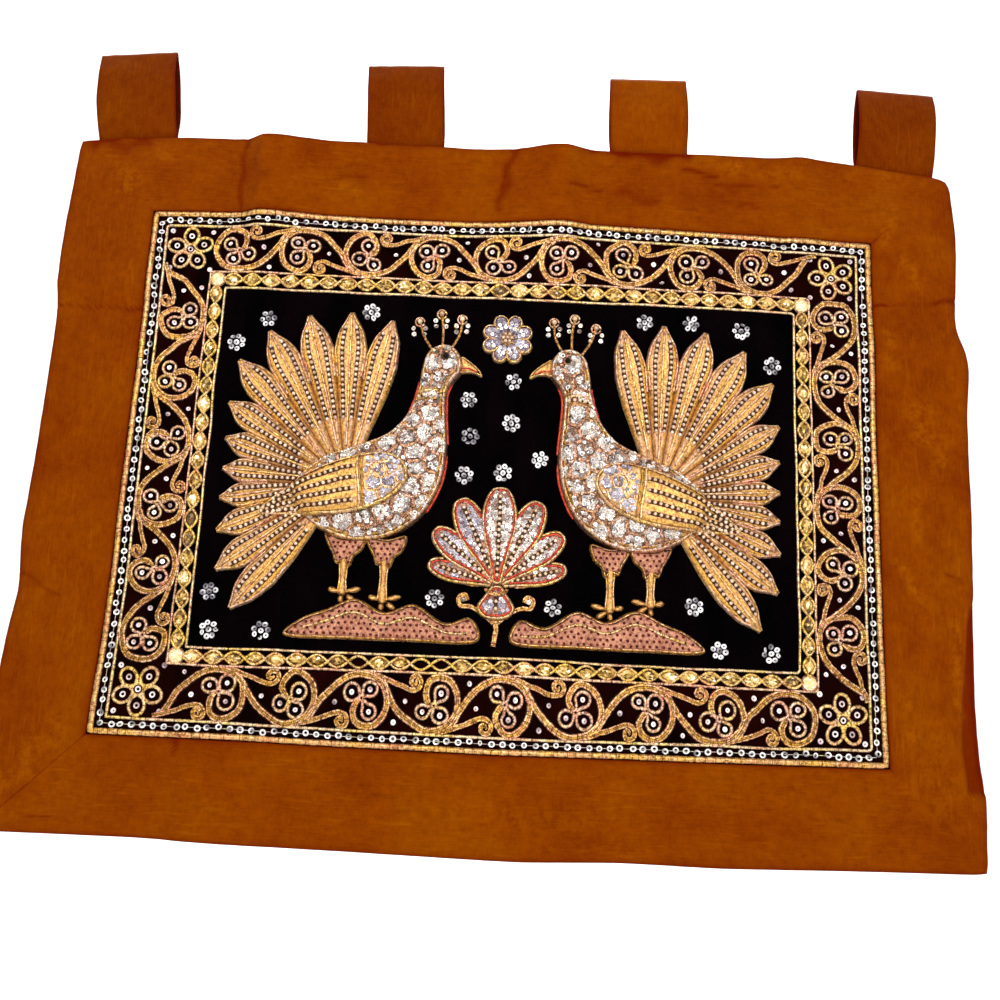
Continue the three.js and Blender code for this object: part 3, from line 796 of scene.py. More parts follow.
def silk(name, along, across, deep):
    """Slubbed taffeta. along and across: noise scales (x, y, z) for the two sets of threads.
    Tone 1 is painted shade, as at the edge of a hem and in creases, and tone -1 a patch of painted light."""
    s = Shader(name)
    threads, ribs = s.noise(along, 4, 0.65), s.noise(across, 2, 0.6)
    mottle = s.noise(170, 6, 0.75)
    slubs = s.noise(tinted(along, 0.45, 0.45, 0.45), 2, 0.4)
    share = s.weighted((threads, 0.32), (ribs, 0.12), (mottle, 0.56))
    colour = s.mix(s.greys(share, 0.38, 0.62), tinted(deep, 0.81, 0.74, 0.8), tinted(deep, 1.14, 1.27, 1.1))
    dark_slubs = s.times(s.greys(slubs, 0.27, 0.33, 1, 0), 0.2)
    colour = s.mix(dark_slubs, colour, tinted(deep, 0.45, 0.45, 0.45))
    light_slubs = s.times(s.greys(slubs, 0.64, 0.7), 0.4)
    colour = s.mix(light_slubs, colour, tinted(deep, 1.3, 1.75, 3.0))
    patches = [(0.34, (0.87, 0.77, 0.86)), (0.5, WHITE), (0.66, (1.07, 1.24, 1.0))]
    colour = s.tint(colour, s.ramp(s.noise(17, 4, 0.62), patches))
    # painted light in soft patches, where the tone is below 0
    painted_patches = s.times(s.times(s.tone(), -1.5), s.greys(mottle, 0.43, 0.57, 0.12, 1))
    colour = s.mix(painted_patches, colour, tinted(deep, 1.3, 1.75, 1.5))
    # painted shade where the tone is above 0
    colour = s.mix(s.times(s.tone(), 0.88), colour, (0.095, 0.0026, 0.0002))
    normal = s.bump(threads, 0.4, 0.0003, s.bump(mottle, 0.35, 0.001))
    return s.finish(colour, s.greys(threads, 0.3, 0.7, 0.7, 0.5), 0.0, normal,
                    Specular_IOR_Level=0.03, Specular_Tint=(1.0, 0.3, 0.02, 1), Sheen_Weight=0.04,
                    Sheen_Roughness=0.5, Sheen_Tint=(0.9, 0.25, 0.0, 1))


def velvet():
    """Black pile. Tone 1 is the scroll band, painted a red brown as the glow of light reflected from the
    gold.
    """
    s = Shader("black_velvet")
    worn = s.greys(s.noise((40, 40, 18)), 0.35, 0.65)
    field = s.mix(worn, (0.0002, 0.0001, 0.0003), (0.0016, 0.0004, 0.001))
    # painted glow of light reflected from the gold, in the scroll band
    band = s.mix(worn, (0.0018, 0.0003, 0.0002), (0.0095, 0.0007, 0.0004))
    return s.finish(s.mix(s.tone(), field, band), 0.95, 0.0, s.bump(s.noise(2600, 2), 0.6, 0.0004),
                    Specular_IOR_Level=0.015, Sheen_Weight=0.008, Sheen_Roughness=0.35,
                    Sheen_Tint=(0.9, 0.4, 0.45, 1))


def ground_cloth():
    """The woven back of the velvet, with a plain weave of two sets of threads."""
    s = Shader("velvet_back")
    one, two = [s.node("TexWave", {"Vector": s.place(1), "Scale": 330.0, "Distortion": 0.6},
                       out=1, bands_direction=direction) for direction in "XZ"]
    colour = s.mix(s.noise(30, 4), (0.006, 0.005, 0.006), (0.02, 0.017, 0.018))
    return s.finish(colour, 0.9, 0.0, s.bump(s.times(one, two), 0.6, 0.0005), Specular_IOR_Level=0.1,
                    Sheen_Weight=0.03)


def metal_thread(name, light, middle, dark, core=None, metal=0.75, rough=0.34):
    """Metal thread with dark flanks of painted shade, a painted highlight on its crown and painted
    broken glints. core: light and dark of the middle of a doubled cord. Stitches lie where tone is 1."""
    s = Shader(name)
    across, along = [s.part(s.thread((1, 1, 1)), number) for number in (1, 0)]
    lean = s.weighted((along, 0.85), (across, 1.4))
    wave = s.times(s.plus(s.sums("SINE", s.times(lean, 2 * math.pi)), 1.0), 0.5)
    glint = s.noise(560, 3, 0.7)
    # 0 on the middle line of the cord, 1 at both flanks
    aside = s.sums("ABSOLUTE", s.times(s.sums("SUBTRACT", across, 0.4286 if core else 0.4), 2.4))
    # the crown is painted lighter and the flanks darker: a painted highlight and painted shade
    share = s.weighted((glint, 1), (wave, 0.07), (s.sums("SUBTRACT", 1.0, aside), 0.1))
    body = s.ramp(share, [(0.48, dark), (0.6, middle), (0.72, light)])
    patches = [(0.34, (1.0, 0.76, 0.72)), (0.48, WHITE), (0.62, (1.06, 1.0, 0.52))]
    body = s.tint(body, s.ramp(s.noise(75, 3, 0.6), patches))
    if core:
        inner = s.ramp(share, [(0.52, core[1]), (0.74, core[0])])
        body = s.mix(s.greys(aside, 0.19, 0.26, 1, 0), body, inner)
        # painted shade in the grooves between the strands and along the outer flanks
        groove_shade = s.ramp(aside, [(0.15, WHITE), (0.21, (0.1, 0.055, 0.03)), (0.25, (0.1, 0.055, 0.03)),
                                (0.31, WHITE), (0.56, WHITE), (0.68, (0.16, 0.09, 0.05))])
        body = s.mix(s.greys(s.noise(900, 1), 0.34, 0.46), body, s.tint(body, groove_shade))
    stitch = s.times(s.tone(), s.plus(glint, 0.4))
    normal = s.bump(glint, 0.7, 0.0003, s.bump(wave, 0.3, 0.0002))
    return s.finish(s.mix(stitch, body, (0.02, 0.005, 0.002)),
                    s.greys(glint, 0.3, 0.7, rough + 0.16, rough - 0.08), metal, normal,
                    Specular_IOR_Level=0.5)


def by_tone(name, stops, rough, metal, coat=0.0, shine=0.7):
    """Small shiny things whose colour follows their tone."""
    s = Shader(name)
    dust = s.noise(1500, 2)
    colour = s.mix(s.times(dust, 0.25), s.ramp(s.tone(), stops), (0.3, 0.24, 0.2), "MULTIPLY")
    return s.finish(colour, s.greys(dust, 0.3, 0.75, rough, rough + 0.12), metal, Coat_Weight=coat,
                    Coat_Roughness=0.06, Specular_IOR_Level=shine)


def cut_glass():
    """Yellow glass stones whose facets are each painted with their own light: painted highlights and shade.
    """
    s = Shader("yellow_glass")
    # cells of painted light that break up the facets
    facet = s.node("TexVoronoi", {"Vector": s.place(420), "Scale": 1.0}, out=1)
    speck = s.noise(900, 2)
    share = s.weighted((s.tone(), 0.8), (s.node("SeparateColor", {0: facet}), 0.2),
                       (s.sums("SUBTRACT", speck, 0.5), 0.6))
    colour = s.ramp(share, [(0.12, (0.05, 0.02, 0.002)), (0.3, (0.2, 0.1, 0.01)), (0.48, (0.44, 0.25, 0.035)),
                            (0.66, (0.68, 0.43, 0.12)), (0.82, (0.88, 0.68, 0.34)), (0.97, (1.0, 0.95, 0.8))])
    return s.finish(colour, 0.26, 0.1, s.bump(speck, 0.35, 0.0003), Coat_Weight=0.2,
                    Coat_Roughness=0.12, Specular_IOR_Level=0.4)


def satin_thread(name, stops):
    """Laid threads that run along the thread coordinates; the colour follows the tone."""
    s = Shader(name)
    lines = s.noise((0.7, 1.6, 1), 3, 0.7, s.thread)
    fleck = s.noise(640, 3, 0.7)
    shade = s.ramp(s.weighted((lines, 0.4), (fleck, 0.6)),
                   [(0.36, (0.25, 0.14, 0.06)), (0.5, (0.92, 0.88, 0.8)), (0.6, (1.5, 1.5, 1.45))])
    normal = s.bump(fleck, 0.6, 0.0003, s.bump(lines, 0.8, 0.0004))
    return s.finish(s.tint(s.ramp(s.tone(), stops), shade), 0.4, 0.5, normal, Specular_IOR_Level=0.5)


def bullion(name, dark, light):
    """The rough ground of chopped metal thread between the sequins."""
    s = Shader(name)
    coils = s.node("TexVoronoi", {"Vector": s.place(1100), "Scale": 1.0})
    glint = s.noise(800, 3, 0.8)
    colour = s.mix(s.greys(s.weighted((coils, -0.6), (glint, 1.2)), 0.1, 0.55), dark, light)
    colour = s.tint(colour, s.ramp(s.noise(60), [(0.3, (0.8, 0.68, 0.7)), (0.7, WHITE)]))
    normal = s.bump(coils, 1.0, 0.0006, s.bump(glint, 0.7, 0.0004))
    return s.finish(colour, 0.42, 0.6, normal, Specular_IOR_Level=0.5)


def pink_satin():
    """Salmon cloth with a little wear, on the thighs and the banks."""
    s = Shader("salmon_satin")
    worn = s.greys(s.noise(90, 4), 0.3, 0.7)
    grain = s.noise(700, 3, 0.7)
    colour = s.tint(s.mix(worn, (0.36, 0.125, 0.065), (0.62, 0.28, 0.165)),
                    s.ramp(grain, [(0.36, (0.45, 0.35, 0.3)), (0.5, (0.95,) * 3), (0.62, (1.25,) * 3)]))
    normal = s.bump(grain, 0.6, 0.0004, s.bump(s.noise((1400, 1400, 500), 2), 0.5, 0.0003))
    return s.finish(colour, 0.5, 0.0, normal, Specular_IOR_Level=0.3, Sheen_Weight=0.08,
                    Sheen_Tint=(1, 0.7, 0.6, 1))


def floor_finish():
    """A plain pale floor, faintly cloudy."""
    s = Shader("pale_floor")
    return s.finish(s.mix(s.noise(3), (0.86, 0.86, 0.86), (0.9, 0.9, 0.89)), 0.9)


RUST = (0.182, 0.0315, 0.0004)
UPRIGHT = ((900, 400, 100), (300, 400, 1500))  # silk whose long threads run up and down
SILK_LEVEL = silk("rust_silk_level", (100, 400, 900), (1500, 400, 300), RUST)
SILK_UPRIGHT = silk("rust_silk_upright", *UPRIGHT, RUST)
SILK_TABS = silk("rust_silk_loops", *UPRIGHT, (0.137, 0.021, 0.0004))
# much darker silk for the insides and cut sides of the loops: painted shade
SILK_SHADED_INSIDE = silk("rust_silk_shaded_inside", *UPRIGHT, (0.06, 0.005, 0.0008))
VELVET, VELVET_BACK = velvet(), ground_cloth()
GOLD = metal_thread("orange_gold_thread", (0.98, 0.64, 0.4), (0.7, 0.37, 0.18), (0.15, 0.05, 0.015),
                    ((0.62, 0.33, 0.045), (0.15, 0.055, 0.006)))
PALE = metal_thread("pale_gold_thread", (0.88, 0.64, 0.36), (0.62, 0.39, 0.17), (0.2, 0.09, 0.03))
PINK = metal_thread("pink_gold_thread", (0.88, 0.62, 0.44), (0.6, 0.36, 0.22), (0.16, 0.065, 0.035))
BROWN = metal_thread("brown_gold_thread", (0.66, 0.38, 0.26), (0.4, 0.19, 0.115), (0.1, 0.04, 0.02),
                     ((0.55, 0.3, 0.17), (0.12, 0.045, 0.02)))
EDGE_GOLD = metal_thread("edge_gold_thread", (0.78, 0.48, 0.22), (0.56, 0.3, 0.105), (0.17, 0.06, 0.015))
CREAM = metal_thread("cream_gold_thread", (0.9, 0.7, 0.46), (0.62, 0.45, 0.25), (0.2, 0.1, 0.045))
LENS_GOLD = metal_thread("yellow_gold_thread", (0.86, 0.62, 0.3), (0.58, 0.36, 0.11), (0.16, 0.065, 0.012))
RED = metal_thread("red_thread", (0.72, 0.07, 0.015), (0.5, 0.025, 0.006), (0.16, 0.006, 0.002),
                   metal=0.1, rough=0.45)
SILVER_LINE = metal_thread("white_thread", (0.95, 0.92, 0.88), (0.6, 0.57, 0.54), (0.25, 0.23, 0.22),
                           metal=0.3)
SEQUINS = by_tone("silver_pink_sequins", [(0.0, (0.2, 0.14, 0.11)), (0.12, (0.46, 0.37, 0.32)),
                                          (0.3, (0.72, 0.66, 0.64)), (0.5, (0.95, 0.88, 0.82)),
                                          (0.8, (1.0, 0.87, 0.75)), (1.0, (0.88, 0.64, 0.46))], 0.2, 0.8)
LILAC_SEQUINS = by_tone("lilac_sequins", [(0.0, (0.2, 0.17, 0.22)), (0.3, (0.5, 0.46, 0.54)),
                                          (0.6, (0.8, 0.75, 0.82)), (1.0, (0.9, 0.82, 0.76))], 0.22, 0.75)
WHITE_SEQUINS = by_tone("white_sequins", [(0.0, (0.12, 0.11, 0.13)), (0.25, (0.42, 0.4, 0.43)),
                                          (0.5, (0.86, 0.84, 0.85)), (1.0, WHITE)], 0.3, 0.35)
SCROLL_SEQUINS = by_tone("pink_white_sequins", [(0.0, (0.1, 0.06, 0.065)), (0.3, (0.34, 0.25, 0.27)),
                                                (0.6, (0.74, 0.58, 0.58)), (1.0, (1.0, 0.94, 0.92))],
                         0.3, 0.35)
GOLD_BEADS = by_tone("pearl_gold_beads", [(0.0, (0.52, 0.3, 0.14)), (0.5, (0.8, 0.54, 0.32)),
                                          (1.0, (1.0, 0.78, 0.56))], 0.2, 0.4, 0.4)
LILAC_BEADS = by_tone("lilac_beads", [(0.0, (0.42, 0.26, 0.2)), (0.5, (0.72, 0.5, 0.37)),
                                      (1.0, (0.98, 0.77, 0.58))], 0.2, 0.35, 0.4)
# red-brown sewing thread, laid wide beside the gold cords as a painted warm glow of their light
SEWING_GLOW = by_tone("red_brown_thread_glow", [(0.0, (0.012, 0.0025, 0.001)), (1.0, (0.06, 0.018, 0.005))],
                 0.8, 0.0, shine=0.1)
# the thread between the beads, laid wide as painted shade between and beside them
GAP_THREAD_SHADE = by_tone("brown_gap_thread_shade", [(0.0, (0.06, 0.024, 0.01)), (1.0, (0.15, 0.065, 0.025))],
                     0.6, 0.0, shine=0.1)
RED_BEADS = by_tone("dark_red_beads", [(0.0, (0.05, 0.003, 0.002)), (1.0, (0.14, 0.014, 0.007))],
                    0.5, 0.0, shine=0.2)
BLACK_BEADS = by_tone("black_beads", [(0.0, (0.004, 0.002, 0.002)), (1.0, (0.012, 0.006, 0.005))],
                      0.6, 0.0, shine=0.1)
GEMS = cut_glass()
PLUME_SATIN = satin_thread("plume_satin", [(0.0, (0.46, 0.26, 0.18)), (0.3, (0.52, 0.29, 0.12)),
                                           (0.45, (0.62, 0.34, 0.085)), (0.78, (0.66, 0.34, 0.055)),
                                           (0.9, (0.65, 0.39, 0.17)), (1.0, (0.75, 0.5, 0.3))])
ORANGE_SATIN = satin_thread("orange_satin", [(0.0, (0.7, 0.38, 0.12)), (1.0, (0.8, 0.46, 0.17))])
NET_GROUND = bullion("chopped_thread", (0.13, 0.055, 0.03), (0.78, 0.47, 0.31))
PETAL_GROUND = bullion("petal_thread", (0.18, 0.08, 0.05), (0.85, 0.54, 0.38))
LILAC_GROUND = bullion("lilac_thread", (0.12, 0.09, 0.12), (0.66, 0.56, 0.6))
PINK_SATIN = pink_satin()
FLOOR = floor_finish()


# ----------------------------------------
# Cloth
SHARP_ANGLE = 1.3  # radians


def sheet_mesh(name, x, z, front, back, uv, materials, tone):
    """A closed sheet from grids of places and of its front and back outs. Material 1 is its back."""
    points = np.concatenate([np.stack([x, z, out], -1).reshape(-1, 3) for out in (front, back)])
    faces = grid_faces(*x.shape)
    if turns_backwards(points, faces[0][0]):
        faces = grid_faces(*x.shape, True)
    last = len(materials) - 1
    slots = np.repeat([0, last, 0], [len(some) for some in faces])
    flat_uv = np.tile(uv.reshape(-1, 2), (2, 1))
    sheet = mesh_object(name, to_world(points), faces, [flat_uv[f] for f in faces],
                        np.tile(tone.ravel(), 2), materials, True, slots)
    sheet.data.set_sharp_from_angle(angle=SHARP_ANGLE)
    return sheet


def edge_lines(half):
    """Places of the panel's mesh lines."""
    return np.linspace(-half, half, 2 * int(round(half / SHEET_STEP)) + 1)


def make_panel():
    """The velvet, whose scroll band is painted with a glow of light reflected from the gold, and which
    ripples a little there.
    """
    x, z = np.meshgrid(edge_lines(PANEL_X), edge_lines(PANEL_Z))
    in_band = smoothstep((np.maximum(np.abs(x) / FIELD_X, np.abs(z) / FIELD_Z) - 1) * 8)
    front = 0.12 * ripple(x, z, 60, 3) * in_band - 0.1
    panel = sheet_mesh("panel_velvet", x, z, front, front - VELVET_THICK, np.stack([x, z], -1),
                       [VELVET, VELVET_BACK], in_band)
    finish_piece(panel, "velvet", "velvet_panel")


def strip_sizes(side):
    """Half the length of a strip's inner and outer edge, and how far both lie from the middle."""
    if is_level(side):
        return PANEL_X, CLOTH_X, PANEL_Z, CLOTH_Z
    return PANEL_Z, CLOTH_Z, PANEL_X, CLOTH_X


def strip_grid(side):
    """Places of one mitred strip: x, z, distance along, and shares across and along it."""
    sign = outwards(side)
    panel_along, cloth_along, panel_far, cloth_far = strip_sizes(side)
    ends = ("left", "right") if is_level(side) else ("bottom", "top")
    # corners of the cloth are a little rounded, most at the top right
    cuts = [2.6 if {side, end} == {"top", "right"} else 1.0 for end in ends]
    low = -(cloth_along + wander(ends[0], sign * cloth_far) - cuts[0] + 0.3)
    high = cloth_along + wander(ends[1], sign * cloth_far) - cuts[1] + 0.3
    # mesh lines crowd towards the mitres, and towards both edges so that the hems are round
    close = np.array([0, 0.3, 0.7, 1.2, 1.9]) / cloth_along / 2
    first = 3 / cloth_along / 2
    t = np.r_[close, np.linspace(first, 1 - first, int(cloth_along / 1.25)), 1 - close[::-1]]
    width = cloth_far - panel_far
    inner_lines = [0, 0.4, 1.2, 2.6, *np.linspace(4.5, width - HEM_WIDTH, 16)]
    share = np.r_[inner_lines, width - np.array(HEM_LINES)] / width
    tt, ss = np.meshgrid(t, share)
    along = (1 - ss) * (panel_along * (2 * t - 1)) + ss * (low + (high - low) * t)
    from_low, from_high = 2 * cloth_along * t, 2 * cloth_along * (1 - t)
    rounding = (cuts[0] * np.clip(1 - from_low / CORNER_REACH, 0, 1) ** 2
                + cuts[1] * np.clip(1 - from_high / CORNER_REACH, 0, 1) ** 2)
    far_out = cloth_far + wander(side, from_low - cloth_along) - rounding
    far = sign * ((1 - ss) * (panel_far - PANEL_OVERLAP) + ss * far_out)
    x, z = (along, far) if is_level(side) else (far, along)
    return x, z, along, ss, tt


def make_strip(side, material):
    """One mitred strip of the border, with its hem, creases and puckers."""
    x, z, along, share, t = strip_grid(side)
    panel_along, cloth_along, panel_far, cloth_far = strip_sizes(side)
    width = cloth_far - panel_far
    from_inner, from_outer = share * width, (1 - share) * width
    from_mitre = np.minimum(t, 1 - t) * 2 * panel_along / MITRE_SLANT
    # the edges are rounded over, least at the mitres
    nearest = np.minimum(np.minimum(from_inner * 1.2 + 0.05, from_outer), from_mitre + 1.3)
    round_over = np.sqrt(1 - (1 - np.clip(nearest / 1.6, 0, 1)) ** 2)
    # puckers along the seam and along the hem, which fade out at the mitres
    pucker = 0.32 * ripple(along, 9 * share, 9, 5) * np.exp(-from_inner / 9)
    pucker = pucker + 0.22 * ripple(along, 5 * share, 11, 6) * np.exp(-from_outer / 7)
    pucker = pucker * smoothstep(from_mitre / 7)
    waves = 0.7 * ripple(x, z, 85, 11) + 0.28 * ripple(x, z, 30, 12)
    # the mitre at the lower left is a deeper line than the others, with painted shade along it
    low_left = 0.8 * ((x < 0) & (z < 0)) * np.exp(-((from_mitre / 0.45) ** 2))
    # part of the right edge, below the middle, is turned back, further towards its lower end
    turned_back = 0
    if side == "right":
        reach = (4.5 + 6.5 * smoothstep((-75 - z) / 90)) * smoothstep((-62 - z) / 22)
        turned_back = smoothstep((reach - from_outer) / 2.2 + 0.5) * smoothstep((z + 184) / 2.5)
        turned_back = turned_back * smoothstep(reach)
    # between the seam and the hem the cloth lies a little lower
    hem_step = -0.35 * smoothstep((from_inner - 2) / 3) * smoothstep((from_outer + 1 - HEM_WIDTH) / 2.5)
    depth, dark = wrinkles(x, z)
    body = waves * smoothstep(from_inner / 10) + pucker + hem_step - depth - 0.3 * low_left
    body = body - 1.4 * turned_back
    half = SILK_THICK / 2
    middle = body + 0.75 - half
    edge = half * np.maximum(round_over, 0.12)
    # the tone: painted shade along both edges, unevenly along the seam, and in the creases, with the patches
    # of painted light and shade
    inner_reach = 1.1 + 0.8 * np.clip(ripple(along, 0 * share, 60, 8) + 0.4, 0, 2)
    shade = 1.1 * np.exp(-from_outer / 1.5) + 0.9 * np.exp(-from_inner / inner_reach) + low_left + dark
    # painted shade on the turned-back part of the right edge
    shade = np.clip(shade + 0.78 * turned_back, -1, 1)
    strip = sheet_mesh(f"border_{side}_silk", x, z, middle + edge, middle - edge,
                       np.stack([along, from_inner], -1), [material], shade)
    finish_piece(strip, "silk", f"border_{side}")


def tab_section(rise_up, front, back):
    """The loop's middle line: (behind, up) from the foot, up the front, over and down the back."""
    near, far = [GAP + STRIP_DEPTH + share * TAB_THICK for share in (0.5, 1.5)]
    top = np.array([0.5 * (near + far), rise_up - 0.55 * TAB_THICK])
    t = np.linspace(0, 1, 26)[:, None]

    def belly(start, bulge, end):
        middle = np.array([bulge, rise_up / 2])
        return (1 - t) ** 2 * np.array(start) + 2 * t * (1 - t) * middle + t**2 * np.array(end)

    tuck = np.linspace(-TAB_TUCK + 0.5, -1.5, 6)
    return np.vstack([np.stack([np.full(6, near), tuck], 1),
                      belly((near, 1), near - 2 * front, top + (-0.75, -1.6)),
                      top + (-0.45, -0.4), top, top + (0.45, -0.4),
                      belly(top + (0.75, -1.6), far + 2 * back, (far, 1)),
                      np.stack([np.full(6, far), tuck[::-1]], 1)])


def make_tab(name, x_mid, lean, rise_up, front, back):
    """One hanging loop, open at both sides, whose ends are tucked behind the top strip."""
    line = resample(tab_section(rise_up, front, back), 1.6)
    normal = normals_along(line, False)
    right = np.array([0.1, 0.22, 0.33, 0.42, 0.46, 0.485, 0.496, 0.5])
    across = TAB_WIDTH * np.r_[-right[::-1], 0, right]
    length = measured(line)[1]
    ll, aa = np.meshgrid(length, across, indexing="ij")
    from_side = TAB_WIDTH / 2 - np.abs(aa)
    seed = int(name[-1])
    up = np.repeat(line[:, 1:2], len(across), 1)
    # how freely the cloth moves: not at all at the foot, and little at the top
    free = smoothstep((up - 2) / 12) * (0.25 + 0.75 * smoothstep((rise_up - 1 - up) / 14))
    wave = 0.8 * ripple(aa, ll, 46, 20 + seed) * free + 0.16 * ripple(aa, ll, 14, 30 + seed)
    # the sides curl, and the cloth lies a little lower between the two side hems
    curl = -0.9 * (np.abs(aa) / (TAB_WIDTH / 2)) ** 3 * free
    press = 0.25 * smoothstep((from_side - 7) / 1.5)
    # half the thickness, rounded at the sides, which also wander a little
    half = 0.62 * np.maximum(np.sqrt(1 - (1 - np.clip(from_side / 1.1, 0, 1)) ** 2), 0.15)
    aside = aa + 0.5 * ripple(ll, 0 * ll, 40, 40 + seed) * np.sign(aa) * free
    angle = math.radians(lean)
    foot = CLOTH_Z + float(wander("top", np.array([x_mid]))[0])

    def placed(offset):
        behind = line[:, 0:1] - normal[:, 0:1] * offset
        height = line[:, 1:2] - normal[:, 1:2] * offset
        x = x_mid + aside * math.cos(angle) - height * math.sin(angle)
        z = foot + aside * math.sin(angle) + height * math.cos(angle)
        return np.stack([x, z, -behind], -1).reshape(-1, 3)

    sway = wave + curl - press
    points = np.concatenate([placed(sway - half), placed(sway + half)])
    faces = grid_faces(*aa.shape)
    uv = np.tile(np.stack([ll, aa], -1).reshape(-1, 2), (2, 1))
    # the back and the rim take the darker silk of painted shade
    slots = np.repeat([0, 1, 1], [len(some) for some in faces])
    # painted shade along the sides and at the foot, where the loop goes behind the strip
    shade = np.clip(np.exp(-from_side) + 0.6 * np.exp(-np.abs(up) / 2.5), 0, 1).ravel()
    outside = SILK_UPRIGHT if name == "tab_3" else SILK_TABS
    tab = mesh_object(f"{name}_silk", to_world(points), faces, [uv[f] for f in faces],
                      np.tile(shade, 2), [outside, SILK_SHADED_INSIDE], True, slots)
    finish_piece(tab, "silk", name)


# ----------------------------------------
# Couched frames round the panel
# piece, node, material, slot, inset, wobble, seed, width, height, stitch, step
FRAMES = [
    ("edge_cord_gold", "edge_cord", EDGE_GOLD, "gold_cord", EDGE_INSET, 0.3, 51, 3.7, 1.8, 7, 1.3),
    ("rail_cord_pale", "rail_cord", CREAM, "pale_cord", RAIL_INSET, 0.35, 53, 1.9, 1.3, 8, 1.1),
    ("gem_band_outer_cord", "band_cord_outer", PINK, "gold_cord", BAND_OUTER_INSET, 0.35, 55, 1.6, 1.2,
     7, 1.1),
    ("gem_band_inner_cord", "band_cord_inner", CREAM, "pale_cord", BAND_INNER_INSET, 0.5, 57, 1.7, 1.3,
     9, 1.1),
]


def frame_line(inset, wobble, seed):
    """The closed line at one distance from the panel's edge, a little uneven as sewn by hand."""
    hx, hz = PANEL_X - inset, PANEL_Z - inset
    line = resample([(-hx, -hz), (hx, -hz), (hx, hz), (-hx, hz)], 3.0, True)
    return line + wobble * np.stack([ripple(*line.T, 50, seed), ripple(*line.T, 50, seed + 1)], 1)


def make_frames():
    for name, node, material, slot, inset, wobble, seed, width, height, stitch, step in FRAMES:
        batch = Batch(name, material)
        cord(batch, frame_line(inset, wobble, seed), width, height, True, stitch=stitch, step=step)
        batch.finish(slot, node)


SEQUIN_PITCH = 6.5
LOOSE_SHARE = 0.08  # the share of the row's sequins that hang loose


def make_sequin_row():
    """White ring sequins on their thread, just inside the edge cord."""
    path = frame_line(SEQUIN_INSET, 0.3, 59)
    line = resample(path, SEQUIN_PITCH, True)
    n = len(line)
    rings = Batch("sequin_row", WHITE_SEQUINS, smooth=False)
    line = line + RANDOM.normal(0, 0.42, (n, 2))
    tilts = RANDOM.normal(0, 0.24, (n, 2))
    tilts = tilts + (RANDOM.random((n, 1)) < LOOSE_SHARE) * RANDOM.normal(0, 0.5, (n, 2))
    stamp(rings, RING_SEQUIN, line, 0.35 + 1.4 * np.abs(tilts).max(axis=1), (1.85, 2.2), ANY_WAY, tilts,
          (0.3, 1), glare=0.3)
    rings.finish("sequins")
    thread = Batch("sequin_row_thread", SILVER_LINE)
    cord(thread, path, 0.36, 0.3, True, step=1.8, lift=0.02)
    thread.finish("sequins")


# ----------------------------------------
# The scroll band: vines, trefoils, tendrils and corner flowers
UNIT = 42.7  # length of one scroll
VINE = [(-2.6, 11.2), (0.6, 6.4), (4.6, 0.6), (9.6, -4.8), (16.5, -10.2), (25, -12.9), (34.5, -12.3),
        (41.4, -7.8), (44.2, -1.2), (43, 6.2), (38, 11.4), (31.4, 12.9), (26.2, 10.4), (24.6, 5.6),
        (25.8, 1.6), (28.4, -0.6)]
TENDRIL = [(-8.5, 13.2), (-4.2, 12.3), (0.4, 10.8), (5.3, 9.6), (11, 7.6), (16.2, 6.2), (20.2, 7.2),
           (21.8, 10.2), (20.0, 13.0), (16.8, 12.9), (15.6, 10.6), (17.2, 9.0), (19.0, 9.9), (18.2, 11.2)]
TREFOIL = [(33.4, 4.9), (23.8, -4.9), (34.2, -4.9)]  # middles of its three loops
TREFOIL_HEART = (29.4, -1.2)
LOOP = 4.4  # radius of a trefoil's loop
BAND_STRETCH = 1.06  # the scrolls are drawn for a slightly narrower band
GAP_SEQUINS = [(12.5, 1.2), (7.5, -10.3), (3.5, -11)]
CORNER_ROOM = 19.5  # what a corner flower takes off the length of a row of scrolls
SMALL_OUT = 0.55  # how far the band's small sequins lie in front of the velvet


def scroll_runs():
    """Start, direction, length and mirroring of every scroll, on the band's middle line."""
    hx, hz = PANEL_X - SCROLL_INSET, PANEL_Z - SCROLL_INSET
    x_end, z_end = hx - CORNER_ROOM, hz - CORNER_ROOM
    for start, direction, count, length in [
        ((x_end, hz), (-1, 0), 9, 2 * x_end),
        ((-hx, z_end), (0, -1), 6, 2 * z_end),
        ((-x_end, -hz), (1, 0), 9, 2 * x_end),
        ((hx, -z_end), (0, 1), 6, 2 * z_end),
    ]:
        pitch = length / count
        direction = np.array(direction, float)
        for k in range(count):
            yield start + direction * pitch * k, direction, pitch / UNIT, -1 if k % 2 == 0 else 1


